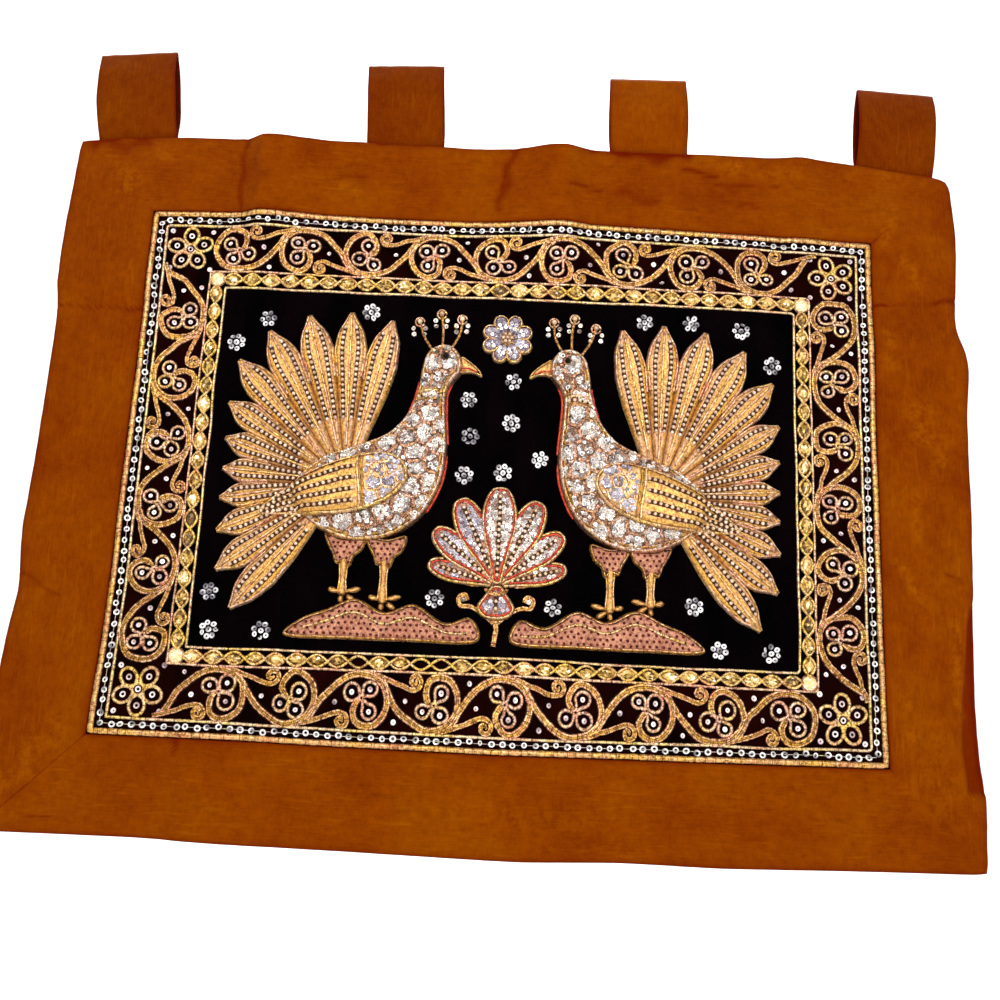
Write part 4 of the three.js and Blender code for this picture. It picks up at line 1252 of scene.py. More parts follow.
def make_scrolls():
    """The vines with their tendrils, trefoils and sequins, and a flower in each corner."""
    vines = Batch("scroll_vines", GOLD)
    trefoils = Batch("scroll_trefoils", PINK)
    flowers = Batch("corner_flowers", PALE)
    sewing_glow = Batch("scroll_sewing_thread_glow", SEWING_GLOW)
    dots = Batch("scroll_sequins", SCROLL_SEQUINS, smooth=False)
    tendril_look = {"section": DOUBLE, "stitch": 4.5, "taper": True}
    # ends of the red-brown sewing thread show on both sides of the cords, laid wide as a painted warm
    # glow of light from the gold
    sewing_glow_look = {"section": FLAT, "step": 2.4, "stitch": 3}
    for origin, direction, squeeze, flip in scroll_runs():
        side = np.array([-direction[1], direction[0]]) * BAND_STRETCH

        def laid(points, loose):
            p = np.asarray(points, float) + RANDOM.normal(0, loose, (len(points), 2))
            return origin + p[:, :1] * squeeze * direction + flip * p[:, 1:2] * side

        vine = smooth_line(laid(VINE, 0.35))
        cord(vines, vine, 4.2, 1.6, **tendril_look)
        cord(sewing_glow, vine, 5.5, 0.3, taper=True, **sewing_glow_look)
        cord(vines, smooth_line(laid(TENDRIL, 0.2)), 3.1, 1.5, lift=0.35, **tendril_look)
        heart = laid([TREFOIL_HEART], 0.3)[0]
        lean = math.radians(RANDOM.normal(0, 11))
        spread = (np.array(TREFOIL) - TREFOIL_HEART) @ rotation(lean)
        middles = laid(TREFOIL_HEART + spread, 0.4)
        for middle in middles:
            back = math.degrees(math.atan2(heart[1] - middle[1], heart[0] - middle[0]))
            loop = arc(middle, LOOP * RANDOM.uniform(0.9, 1.08), back + 28, back + 332, 18,
                       flat=RANDOM.uniform(0.84, 1.04))
            foot = heart + 0.1 * (middle - heart)
            cord(trefoils, np.vstack([foot, loop, foot]), 2.0, 1.4, stitch=5)
            cord(sewing_glow, loop, 3.1, 0.3, **sewing_glow_look)
        cord(trefoils, arc(heart, 1.5, 0, 300, 8), 1.7, 1.9)
        stamp(dots, SEQUIN, middles, SMALL_OUT, (1.4, 1.65), ANY_WAY, 0.22, (0.35, 1.1), glare=0.15)
        if RANDOM.random() < 0.93:
            spots = laid(GAP_SEQUINS, 0.6)[: RANDOM.integers(1, 3)]
            stamp(dots, SEQUIN, spots, SMALL_OUT, (1.4, 1.7), 0.0, 0.25, (0.25, 1.1), glare=0.15)
    for sx in (-1, 1):
        for sz in (-1, 1):
            corner = (sx * (PANEL_X - SCROLL_INSET - 0.6), sz * (PANEL_Z - SCROLL_INSET - 0.6))
            corner_flower(flowers, dots, np.array(corner), np.array([sx, sz]))
    for batch, slot in ((vines, "gold_cord"), (trefoils, "gold_cord"), (sewing_glow, "gold_cord"),
                        (flowers, "pale_cord"), (dots, "sequins")):
        batch.finish(slot)


def corner_flower(cords, dots, corner, signs):
    """Five petals of looped cord with ring sequins. signs: which corner of the band it is in."""
    start = RANDOM.uniform(0, 72)
    petals = []
    for k in range(5):
        turn = start + 72 * k + RANDOM.normal(0, 3)
        middle = corner + 9.3 * heading(turn)[0]
        cord(cords, arc(middle, 5.7, 190, 530, 22, flat=0.82, turn=turn), 2.2, 1.4, stitch=5)
        petals.append(middle)
    cord(cords, arc(corner, 3.5, 0, 352, 18), 1.9, 1.3)
    stamp(dots, RING_SEQUIN, petals + [corner], 0.3, 1.9, 0.0, 0.12, (0.4, 1))
    around = corner - 14.2 * signs * [(-0.9, -0.9), (1, -0.85), (-0.85, 0.95), (1, 1)]
    stamp(dots, SEQUIN, around, 0.3, 1.7, 0.0, 0.12, (0.2, 1))


# ----------------------------------------
# The gem band
GEM_PITCH = 12.6
GEM_MARGIN = 4  # free length at both ends of a row of gems
GEM_WAVE = 3.7  # how far the crossing cords swing to each side
LOST_GEMS = {("bottom", k) for k in (17, 18, 21)}  # stones that have come off


def facet_light_and_shade():
    """Painted light and shade on a stone's facets, given to the three points of each: a dark rim of
    painted shade, broken painted lights and a bright painted table."""
    count = len(MARQUISE[1]) // 4
    rim, kite, table = [RANDOM.normal(*spread, count) for spread in ((0.3, 0.2), (0.45, 0.24), (0.54, 0.2))]
    return np.repeat(np.stack([rim, kite, table, 0 * rim], 1).ravel(), 3)


def make_gem_band():
    """Cut stones between two crossing cords, and a round stone in each corner."""
    gems = Batch("gem_stones", GEMS, smooth=False)
    threads = Batch("gem_threads", LENS_GOLD)
    backing = Batch("gem_settings", BROWN)
    hx, hz = PANEL_X - GEM_INSET, PANEL_Z - GEM_INSET
    runs = {"top": ((-hx, hz), (1, 0), 2 * hx), "right": ((hx, hz), (0, -1), 2 * hz),
            "bottom": ((hx, -hz), (-1, 0), 2 * hx), "left": ((-hx, -hz), (0, 1), 2 * hz)}
    for name, (start, direction, length) in runs.items():
        start, direction = np.array(start, float), np.array(direction, float)
        side = np.array([-direction[1], direction[0]])
        free = length - 2 * GEM_MARGIN
        count = int(round(free / GEM_PITCH))
        pitch = free / count
        turn = math.atan2(direction[1], direction[0])
        for k in range(count):
            if (name, k) in LOST_GEMS:
                continue
            at = start + direction * (GEM_MARGIN + pitch * (k + 0.5)) + RANDOM.normal(0, 0.3, 2)
            # the stone's own lightness, with painted light and shade on its facets
            tone = RANDOM.normal(-0.02, 0.17) + facet_light_and_shade()
            size, turned = RANDOM.uniform(4.8, 5.5), turn + RANDOM.normal(0, 0.12)
            stamp(gems, MARQUISE, [at], 0.5, size, turned, 0.1, [np.clip(tone, 0, 1)])
        s = np.arange(0, free + 0.01, 0.9)
        for sign in (-1, 1):
            wave = sign * GEM_WAVE * np.sin(math.pi * s / pitch) + 0.35 * ripple(s, 0 * s, 26, 61 + sign)
            line = start + direction * (GEM_MARGIN + s)[:, None] + side * wave[:, None]
            cord(threads, line, 1.9, 1.3, lift=0.05 + 0.4 * (sign > 0), stitch=6.3)
        stamp(gems, CORNER_STONE, [start], 0.5, 4.6, tones=0.9)
        cord(backing, arc(start, 4.9, 0, 360, 25)[:-1], 1.3, 0.9, closed=True)
    for batch, slot in ((gems, "sequins"), (threads, "gold_cord"), (backing, "gold_cord")):
        batch.finish(slot)


# ----------------------------------------
# The middle field: two birds that face a flower, a rosette above it and a bank below each bird.
# The right-hand shapes are drawn, and side -1 mirrors them.
BODY = [(29, 64), (28, 72), (33, 81), (42, 83.5), (51, 78), (54.5, 67), (56, 54), (61, 38), (72, 24),
        (90, 15), (110, 7), (126, -6), (129, -22), (117, -38), (94, -48), (69, -45), (49, -31),
        (38, -10), (35, 12), (36.5, 34), (37, 50), (33.5, 58)]
BEAK = [(30, 76), (24, 73.5), (17, 67.5), (14.6, 62), (19.5, 64.6), (25.5, 65.4), (30.5, 64.5)]
EYE = (39, 73)
CREST = [[(36, 82), (31, 92), (30, 102)], [(42, 83), (42, 94), (43.5, 105)],
         [(48.5, 80.5), (54, 89), (57.5, 99)]]
CREST_SEQUINS = [(-3.8, -4.5), (3.8, -4.2), (-3.4, -8.5), (3.2, -8.2)]  # round the tip of each stem
WING = [(58, -8), (62, 4), (76, 8.5), (98, 4), (118, -5), (137, -17), (152, -33), (134, -34),
        (112, -34), (90, -31), (69, -22)]
WING_TOP = [(62, 4), (76, 8.5), (98, 4), (118, -5), (137, -17), (152, -31)]
WING_FOOT = [(62, -12), (69, -22), (90, -31), (112, -34), (134, -34), (152, -34.5)]
SHOULDER_X = 87  # from here outwards the wing is laid thread
THIGH = [(-13, -43), (0, -46), (13, -43), (10, -52), (7.5, -56), (5, -63), (0.5, -60.5), (-3.5, -65),
         (-6, -57), (-10.5, -54)]
BANK = [(11, -108), (15, -93), (31, -97), (50, -86), (68, -92), (86, -84), (103, -91), (118, -97),
        (128, -108), (90, -109), (50, -109)]
# the seam of gold cord that follows the bank's crest
BANK_SEAM = [(16, -103), (31, -102.5), (50, -94.5), (68, -99), (86, -92.5), (103, -98.5), (119, -103.5)]
RUMP = (98, -10)  # where the tail's plumes meet
# turn, length and width of each plume
PLUMES = [(102, 111, 22), (88, 113, 23), (74, 114, 24), (60, 113, 24), (46, 107, 23), (32, 92, 21),
          (18, 82, 20), (4, 78, 19), (-10, 79, 19), (-24, 85, 20), (-38, 96, 21), (-52, 105, 21)]
PLUME_TONES = [(0, 0.78), (0.14, 0.6), (0.3, 0.25), (0.52, 0.02), (0.7, 0.2), (0.88, 0.6), (1, 0.9)]
PLUME_SHOULDER, PLUME_CROWN = 3.2, 3.6  # width and height of a plume's rounded edge
TIP_STEEPNESS = 1.3  # its tip rises so much faster than its sides
LEAF = [(0, 0.25), (0.3, 0.55), (0.55, 0.92), (0.72, 1), (0.9, 0.72), (1, 0.3)]
BLOOM_ROOT = np.array([0.0, -72.0])
PETALS = [(16, 45, 16), (164, 45, 16), (40, 53, 20), (140, 53, 20), (65, 60, 23), (115, 60, 23),
          (90, 63, 25), (-90, 22, 26)]
BLOOM_CURL = [(1, -96), (7, -90.5), (15, -86), (21.5, -85.5), (23, -80.5), (19, -78.6), (17.4, -82)]
BLOOM_LEAF = [(11, -72), (19, -71), (27, -64), (30, -55), (25, -52.5), (23.5, -57), (26, -59)]
ROSETTE = np.array([0.0, 89.0])
ROSETTE_REACH, ROSETTE_WIDE = 17, 11.5
# places that the little flowers keep clear of, beside the padded shapes
LEG_ROOM = [(52, -45), (112, -45), (112, -88), (52, -88)]
HEAD_ROOM = [(14, 60), (60, 60), (60, 108), (26, 108)]
STEM_ROOM = [(-26, -112), (26, -112), (26, -50), (-26, -50)]


def mirrored(points, side):
    """Points of the right-hand drawing, on one side of it."""
    return np.asarray(points, float) * (side, 1)


def curve(points, side, closed, pieces):
    """A smooth line through points of the right-hand drawing, on one side of it."""
    return smooth_line(mirrored(points, side), closed, pieces)


def leaf_line(root, turn, reach, wide, blunt=0.0):
    """The closed outline of a leaf or petal that grows from root."""
    along = np.r_[np.linspace(0, 0.9, 10), 0.95, 0.985, 1.0]
    half = read_off(LEAF, along) * wide / 2
    for _ in range(2):
        half[1:-1] = 0.25 * half[:-2] + 0.5 * half[1:-1] + 0.25 * half[2:]
    half[-1] = 0.12 * wide / 2 + blunt
    ahead, aside = heading(turn)
    left, right = [root + ahead * reach * along[:, None] + sign * half[:, None] * aside for sign in (1, -1)]
    return np.vstack([right, left[::-1]])


CELL_TURN = 0.3  # radians
LONGEST_WALL = 30  # longer ones belong to no real cell


def cell_seeds(pad, pitch, loose, least):
    """Uneven honeycomb of points inside a pad, turned a little."""
    low, high = pad.line.min(0) - pitch, pad.line.max(0) + pitch
    middle, span = (low + high) / 2, np.linalg.norm(high - low) / 2
    spots = honeycomb((-span, -span), (span, span), pitch)
    spots += RANDOM.uniform(-loose, loose, spots.shape)
    spots = spots @ rotation(CELL_TURN) + middle
    return pad.within(spots, least)


def cell_walls(seeds):
    """The straight walls between neighbouring cells, each as two ends."""
    spots, faces = triangulated(seeds, [], 0)
    centres, owners = [], {}
    for number, face in enumerate(faces):
        a, b, c = spots[face]
        d = 2 * (a[0] * (b[1] - c[1]) + b[0] * (c[1] - a[1]) + c[0] * (a[1] - b[1]))
        sa, sb, sc = a @ a, b @ b, c @ c
        centres.append([(sa * (b[1] - c[1]) + sb * (c[1] - a[1]) + sc * (a[1] - b[1])) / d,
                        (sa * (c[0] - b[0]) + sb * (a[0] - c[0]) + sc * (b[0] - a[0])) / d])
        for one, two in ((0, 1), (1, 2), (2, 0)):
            owners.setdefault(tuple(sorted((face[one], face[two]))), []).append(number)
    centres = np.array(centres)
    walls = [(centres[pair[0]], centres[pair[1]]) for pair in owners.values() if len(pair) == 2]
    return [(a, b) for a, b in walls if np.linalg.norm(a - b) < LONGEST_WALL]


def nearest_two(x, z, seeds):
    """Index of the nearest seed, and how much further away the second one is."""
    away = np.sqrt((x[:, None] - seeds[:, 0]) ** 2 + (z[:, None] - seeds[:, 1]) ** 2)
    order = np.partition(away, 1, axis=1)
    return away.argmin(1), order[:, 1] - order[:, 0]


def scatter(pad, pitch, least, loose):
    """Loose honeycomb of points that lie deeper inside a pad than least."""
    spots = honeycomb(pad.line.min(0), pad.line.max(0), pitch)
    spots += RANDOM.normal(0, loose, spots.shape)
    return pad.within(spots, least)


def cord_inside(batch, pad, path, least, width, high, **more):
    """A cord on a pad, along the stretches of path that lie at least so deep inside its outline."""
    for run in inside_runs(path, pad, least):
        cord(batch, run, width, high, base=pad.height, **more)


def everywhere(x, z):
    return np.ones(np.shape(x), bool)


DULL_MOOD, DULL_SHARE = 0.16, 0.55  # cells below this mood keep only this share of their sequins


def sequin_cells(pad, seeds, sequins, pitch, size, band, least, keep=everywhere):
    """Sequins packed in each cell, clear of the netting between the cells."""
    spots = scatter(pad, pitch, least, 0.22 * pitch)
    spots = spots[keep(*spots.T)]
    cell, clear = nearest_two(*spots.T, seeds)
    mood = RANDOM.random(len(seeds) + 1)[cell]
    good = (clear > band) & (RANDOM.random(len(spots)) < np.where(mood < DULL_MOOD, DULL_SHARE, 1))
    spots, mood, clear = spots[good], mood[good], clear[good]
    n = len(spots)
    tones = np.clip(0.31 + 0.36 * (mood - 0.3) + RANDOM.normal(0, 0.17, n), 0, 1)
    out = 0.25 + 0.9 * np.clip((clear - band) / 5, 0, 1) + RANDOM.uniform(0, 0.5, n)
    stamp(sequins, SEQUIN, spots, out, (0.86 * size, 1.12 * size), ANY_WAY, 0.24, tones, pad.height)


def netting(batch, pad, seeds, width, high, least, keep=everywhere):
    """Doubled cord on a pad, along the slightly bent walls between its cells."""
    for a, b in cell_walls(seeds):
        sag = RANDOM.normal(0, 0.5, 2)
        t = np.linspace(0, 1, 9)[:, None]
        path = a + (b - a) * t + sag * 4 * t * (1 - t)
        for run in inside_runs(path, pad, least):
            if keep(*run.T).all():
                cord(batch, run, width, high, base=pad.height, section=DOUBLE, lift=-0.15)


def outline_cord(batch, pad, inset, width, high, only=None, **more):
    """A cord along a pad's outline, moved inwards by inset. Outside the pad it lies on the velvet."""
    more.update(base=pad.height if inset > 0 else flat_base, lift=0.0)
    line = resample(pad.line, 1.2, True)
    normal = normals_along(line, True)
    probe = pad.depth_inside(*(line + 0.4 * normal).T)
    normal[probe < 0] *= -1
    line = line + inset * normal
    for _ in range(3):
        line = softened(line)
    if only is None:
        cord(batch, line, width, high, True, **more)
        return
    good = only(*line.T)
    first = int(np.argmin(good))
    line, good = np.roll(line, -first, 0), np.roll(good, -first)
    for start, end in stretches(good, 3):
        cord(batch, line[start:end], width, high, **more)


def bead_row(beads, gaps, path, pitch, size, base, lift=0.5):
    """A row of round beads with a dark thread between them, laid wider than the beads as painted shade."""
    spots = resample(path, pitch)
    n = len(spots)
    tones = RANDOM.uniform(0.2, 1, n)
    stamp(beads, BEAD, spots, lift + 0.5 * size, (0.92 * size, 1.06 * size), tones=tones, base=base)
    cord(gaps, spots, 2.1 * size, 0.5, base=base, lift=lift)


# attribute, end of the piece's name, material, slot
FINERY = [
    ("sequins", "sequins", SEQUINS, "sequins"),
    ("lilac", "lilac_sequins", LILAC_SEQUINS, "lilac_sequins"),
    ("rings", "ring_sequins", WHITE_SEQUINS, "sequins"),
    ("net", "netting", BROWN, "gold_cord"),
    ("gold", "gold_cords", GOLD, "gold_cord"),
    ("pale", "pale_cords", PALE, "pale_cord"),
    ("pink", "pink_cords", PINK, "gold_cord"),
    ("red", "red_edging", RED, "gold_cord"),
    ("beads", "gold_beads", GOLD_BEADS, "beadwork"),
    ("lilac_beads", "lilac_beads", LILAC_BEADS, "beadwork"),
    ("red_beads", "red_beads", RED_BEADS, "beadwork"),
    ("gaps", "bead_gaps", GAP_THREAD_SHADE, "beadwork"),
    ("dark", "dark_beads", BLACK_BEADS, "beadwork"),
]


class Finery:
    """The batches that decorate one side's figures."""

    def __init__(self, name):
        for attribute, ending, material, _ in FINERY:
            smooth = not ending.endswith("sequins")
            setattr(self, attribute, Batch(f"{name}_{ending}", material, smooth))

    def finish(self):
        for attribute, _, _, slot in FINERY:
            batch = getattr(self, attribute)
            if batch.count:
                batch.finish(slot)


def pad_piece(pad, name, material, slot, nodes, spacing, uv_of=None, tone_of=None):
    """An object of its own for one pad."""
    batch = Batch(name, material)
    pad.add_to(batch, spacing, uv_of, tone_of)
    batch.finish(slot, *nodes, fill=0.8)


def make_body(side, label, finery):
    """A bird's body in sequin mosaic, with its collar, eye, beak and crest."""
    pad = Pad(curve(BODY, side, True, 6), 8.6, 6.5)
    pad_piece(pad, f"{label}_body_ground", NET_GROUND, "sequins", [f"{label}_body"], 2.6)
    seeds = cell_seeds(pad, 12.4, 2.6, -7)
    sequin_cells(pad, seeds, finery.sequins, 2.05, 1.5, 2.3, 2.4)
    netting(finery.net, pad, seeds, 2.9, 1.1, 2.0)
    # a few small rings lie on top of each cell
    tops = pad.within(seeds + RANDOM.normal(0, 1.7, seeds.shape), 3.5)
    stamp(finery.rings, RING_SEQUIN, tops, 1.5, 1.6, 0.0, 0.2, (0.4, 1), pad.height)
    outline_cord(finery.pink, pad, 1.6, 2.2, 1.5, stitch=6)
    outline_cord(finery.gold, pad, 3.6, 1.7, 1.2, stitch=6)

    def breast(x, z):
        return (z > -28) & (z < 58) & (x * side < 62) & (ripple(x, z, 30, 71) > -0.4)

    outline_cord(finery.red, pad, 0.0, 1.7, 1.5, only=breast, taper=True)
    # collar: two gold cords with a row of beads between them
    x = np.linspace(34, 60, 20)
    collar = np.stack([side * x, 1.6 * np.sin((x - 36) / 6)], 1)
    for z, batch in ((49, finery.pale), (43.5, finery.gold)):
        cord_inside(batch, pad, collar + (0, z), 1.2, 2.2, 1.8, stitch=5)
    for run in inside_runs(collar + (0, 46.2), pad, 2.5):
        bead_row(finery.beads, finery.gaps, run, 3.4, 1.3, pad.height)
    # the eye, and a beak of laid gold thread
    eye = mirrored([EYE], side)
    stamp(finery.pale, EYE_RING, eye, 0.4, 3.6, base=pad.height)
    stamp(finery.dark, BEAD, eye, 2.2, 2.0, tones=0.5, base=pad.height)
    upper = Pad(curve(BEAK, side, True, 5), 3.6, 2.4)
    pad_piece(upper, f"{label}_beak", ORANGE_SATIN, "plumes", [], 1.8,
              lambda x, z: np.stack([x * side, z + 0.6 * x * side], 1))
    outline_cord(finery.pale, upper, 0.5, 1.2, 1.0)
    cord(finery.red, mirrored([(30, 67.6), (24, 67.8), (18.5, 65.4)], side), 1.1, 0.8,
         base=upper.height, lift=0.2)
    # the crest: three stems, each with a leaf of sequins and a bead
    for stem in CREST:
        cord(finery.gold, curve(stem, side, False, 8), 1.8, 1.3, stitch=5, lift=0.3)
        tip = mirrored(stem[-1], side)
        stamp(finery.beads, BEAD, [tip], 1.9, 2.0)
        cord(finery.pink, arc(tip, 3.0, 0, 340, 14), 1.3, 1.0)
        stamp(finery.sequins, SEQUIN, tip + CREST_SEQUINS, 0.4, 1.6, tilts=0.15)
    return pad


def wing_line(x, share):
    """Height of the line that runs at one share from the wing's lower to its upper edge."""
    low = read_off(WING_FOOT, x)
    return low + share * (read_off(WING_TOP, x) - low)


def make_wing(side, label, finery, under):
    """A wing on the pad under it: lilac sequins at the shoulder, then laid thread and beads."""
    raw = Pad(curve(WING, side, True, 6), 5.2, 3.5)
    pad = Pad(raw.line, 5.2, 3.5, under.height)

    def share(x, z):
        """0 at the wing's lower edge and 1 at its upper edge."""
        low, high = read_off(WING_FOOT, np.abs(x)), read_off(WING_TOP, np.abs(x))
        return np.clip((z - low) / (high - low + 1e-6), 0, 1)

    def tone(x, z):
        s = share(x, z) * 5
        lanes = read_off([(0, 0.05), (0.16, 0.2), (0.3, 0.4), (0.5, 0.65)], np.abs(s - np.round(s)))
        return np.where(np.abs(x) < SHOULDER_X, 0.9, lanes)

    def shoulder(x, z):
        return np.abs(x) < SHOULDER_X - 2.5

    pad_piece(pad, f"{label}_wing_satin", PLUME_SATIN, "plumes", [f"{label}_wing"], 2.2,
              lambda x, z: np.stack([np.abs(x), 6.5 * share(x, z)], 1), tone)
    seeds = cell_seeds(raw, 9.5, 1.2, -5)
    sequin_cells(pad, seeds, finery.lilac, 2.3, 1.5, 2.2, 2.8, shoulder)
    netting(finery.pink, pad, seeds, 1.8, 0.9, 2.6, shoulder)
    # two cords between the shoulder and the laid thread, and rows of beads along the thread
    z = np.linspace(-34, 10, 34)
    for shift, batch in ((-1.2, finery.gold), (1.2, finery.pale)):
        bar = np.stack([side * (SHOULDER_X + 1.5 * np.sin((z + 12) / 9) + shift), z], 1)
        cord_inside(batch, pad, bar, 1.2, 2.0, 1.4, stitch=5)
    x = np.linspace(SHOULDER_X + 4.5, 149, 60)
    for row in np.arange(1, 5) / 5:
        path = np.stack([side * x, wing_line(x, row)], 1)
        for run in inside_runs(path, pad, 2.2):
            bead_row(finery.beads, finery.gaps, run, 3.7, 1.3, pad.height, lift=0.3)
    outline_cord(finery.pale, pad, 1.0, 2.0, 1.5, stitch=6)
    outline_cord(finery.red, pad, -0.6, 1.5, 1.2)
    return raw


def plume_grid(number):
    """One plume between its neighbours: distances along it and its half widths on both sides."""
    turn, reach, wide = PLUMES[number]
    along = np.r_[0.1, np.linspace(0.16, 0.9, 26), 0.93, 0.955, 0.975, 0.99, 1.0]
    leaf_half = read_off(LEAF, along) * wide / 2
    leaf_half = leaf_half * np.where(along > 0.86, np.sqrt(np.clip((1.02 - along) / 0.16, 0, 1)), 1)
    halves = []
    for other in (number - 1, number + 1):
        half = leaf_half
        if 0 <= other < len(PLUMES):
            cut = along * reach * math.tan(math.radians(abs(PLUMES[other][0] - turn)) / 2)
            beside = along < min(PLUMES[other][1] / reach, 1) * 0.93
            half = np.where(beside, np.minimum(half, cut), half)
        halves.append(half)
    return along * reach, halves


def plume_top(off, first, second, end):
    """Height of a plume: off its middle line, its half widths there, and the distance to its end.
    Also how far its shoulder has risen, from 0 to 1."""
    edge = np.clip(np.where(off < 0, first + off, second - off), 0, None)
    t = np.clip(np.minimum(edge, end) / PLUME_SHOULDER, 0, 1)
    return 0.4 + PLUME_CROWN * np.sqrt(1 - (1 - t) ** 2) - 0.7 * np.exp(-(off / 1.3) ** 2) * t, t


def make_tail(side, label, finery):
    """A fan of plumes in laid thread, each with two rows of beads."""
    root = mirrored(RUMP, side)
    batch = Batch(f"{label}_tail_plumes", PLUME_SATIN)
    pads = []
    for number, (turn, reach, wide) in enumerate(PLUMES):
        turn = turn if side > 0 else 180 - turn
        along, (first, second) = plume_grid(number)
        # the first half lies towards the plume before this one in the list
        ahead, aside = heading(turn)[0], -side * heading(turn)[1]
        share = np.linspace(-1, 1, 15)
        offset = np.where(share < 0, share * first[:, None], share * second[:, None])
        flat = root + along[:, None, None] * ahead + offset[..., None] * aside
        ends = np.minimum((reach - along) * TIP_STEEPNESS, 20)[:, None]
        top, shoulder = plume_top(offset, first[:, None], second[:, None], ends)
        lane = np.broadcast_to(np.abs(share), offset.shape)
        tone = read_off(PLUME_TONES, lane)
        tone = np.where((share >= 0) & (lane > 0.56), 0.78, tone)
        tone = np.where(shoulder < 0.3, 0.95, tone)
        points = np.concatenate([np.dstack([flat, out]).reshape(-1, 3)
                                 for out in (top, np.full(top.shape, 0.05))])
        faces = np.vstack(grid_faces(*offset.shape, side < 0))
        uv = np.dstack([np.broadcast_to(along[:, None], offset.shape), 0.3 * offset]).reshape(-1, 2)
        batch.add(points, faces, np.tile(uv, (2, 1))[faces], np.tile(tone.ravel(), 2))

        def height(x, z):
            far = (x - root[0]) * ahead[0] + (z - root[1]) * ahead[1]
            off = (x - root[0]) * aside[0] + (z - root[1]) * aside[1]
            halves = [np.interp(far, along, half) for half in (first, second)]
            return plume_top(off, *halves, (reach - far) * TIP_STEEPNESS)[0]

        # pale cord round the free tip, and beads beside the middle line
        axis = root + along[:, None] * ahead
        free = along > 0.6 * reach
        row = (along > 0.36 * reach) & (along < 0.93 * reach)
        for sign, half in ((-1, first), (1, second)):
            edge_path = axis + (sign * (half - 0.5))[:, None] * aside
            cord(finery.pink, edge_path[free], 1.9, 1.3, base=height, lift=0.1, step=1.0)
            lane_path = axis + (sign * np.maximum(0.5 * half, 1.9))[:, None] * aside
            bead_row(finery.lilac_beads, finery.gaps, lane_path[row], 3.5, 1.3, height, lift=0.1)
        line = root + np.linspace(0.2 * reach, reach - 4, 50)[:, None] * ahead
        cord(finery.pink, line, 1.5, 1.1, base=height, lift=0.0, step=1.4)
        pads.append(Pad(leaf_line(root, turn, reach, wide)))
    batch.finish("plumes", f"{label}_tail", fill=0.7)
    return pads


def make_legs(side, label, finery):
    """Salmon thighs with dark beads, and legs of laid gold thread with three toes and a spur."""
    thighs = Batch(f"{label}_thighs", PINK_SATIN)
    legs = Batch(f"{label}_legs", ORANGE_SATIN)
    for x, foot_z in ((70, -87), (95, -83)):
        pad = Pad(curve(np.array(THIGH) + (x, 0), side, True, 5), 3.4, 2.4)
        pad.add_to(thighs, 2.4)
        stamp(finery.red_beads, BEAD, scatter(pad, 3.7, 1.6, 0.3), 0.4, 0.95, base=pad.height)
        outline_cord(finery.gold, pad, 0.5, 1.5, 1.2, stitch=6)
        shin = [(x - 2.6, -59), (x + 2.6, -59), (x + 1.9, -72), (x + 2.8, foot_z + 2),
                (x - 2.8, foot_z + 2), (x - 1.9, -72)]
        Pad(curve(shin, side, True, 4), 2.8, 1.8).add_to(legs, 1.7, lambda x, z: np.stack([z, 1.4 * x], 1))
        for turn, length in ((168, 12), (214, 10), (275, 7), (12, 9)):
            toe = mirrored(leaf_line(np.array([x, foot_z + 3]), turn, length, 4.2, 0.3), side)
            Pad(toe, 3.0, 1.7).add_to(legs, 1.7, lambda x, z: np.stack([x, 1.4 * z], 1))
        for sign in (-1, 1):
            edge = [(x + sign * 2.6, -62), (x + sign * 1.9, -72), (x + sign * 2.8, foot_z + 3)]
            cord(finery.pale, curve(edge, side, False, 6), 1.1, 1.0, lift=0.5)
    thighs.finish("pink_cloth", fill=0.6)
    legs.finish("plumes", fill=0.7)


def make_bank(side, label, finery):
    """The salmon bank below a bird, with dark beads and a seam."""
    pad = Pad(curve(BANK, side, True, 6), 3.8, 2.2)
    name = f"bank_{label.split('_')[1]}"
    pad_piece(pad, f"{name}_satin", PINK_SATIN, "pink_cloth", [name], 2.6)
    stamp(finery.red_beads, BEAD, scatter(pad, 4.0, 2.4, 0.3), 0.4, 1.0, base=pad.height)
    outline_cord(finery.gold, pad, 0.6, 2.0, 1.5, stitch=6)
    cord_inside(finery.pale, pad, curve(BANK_SEAM, side, False, 8), 1.5, 1.7, 1.2, stitch=6)
    return pad


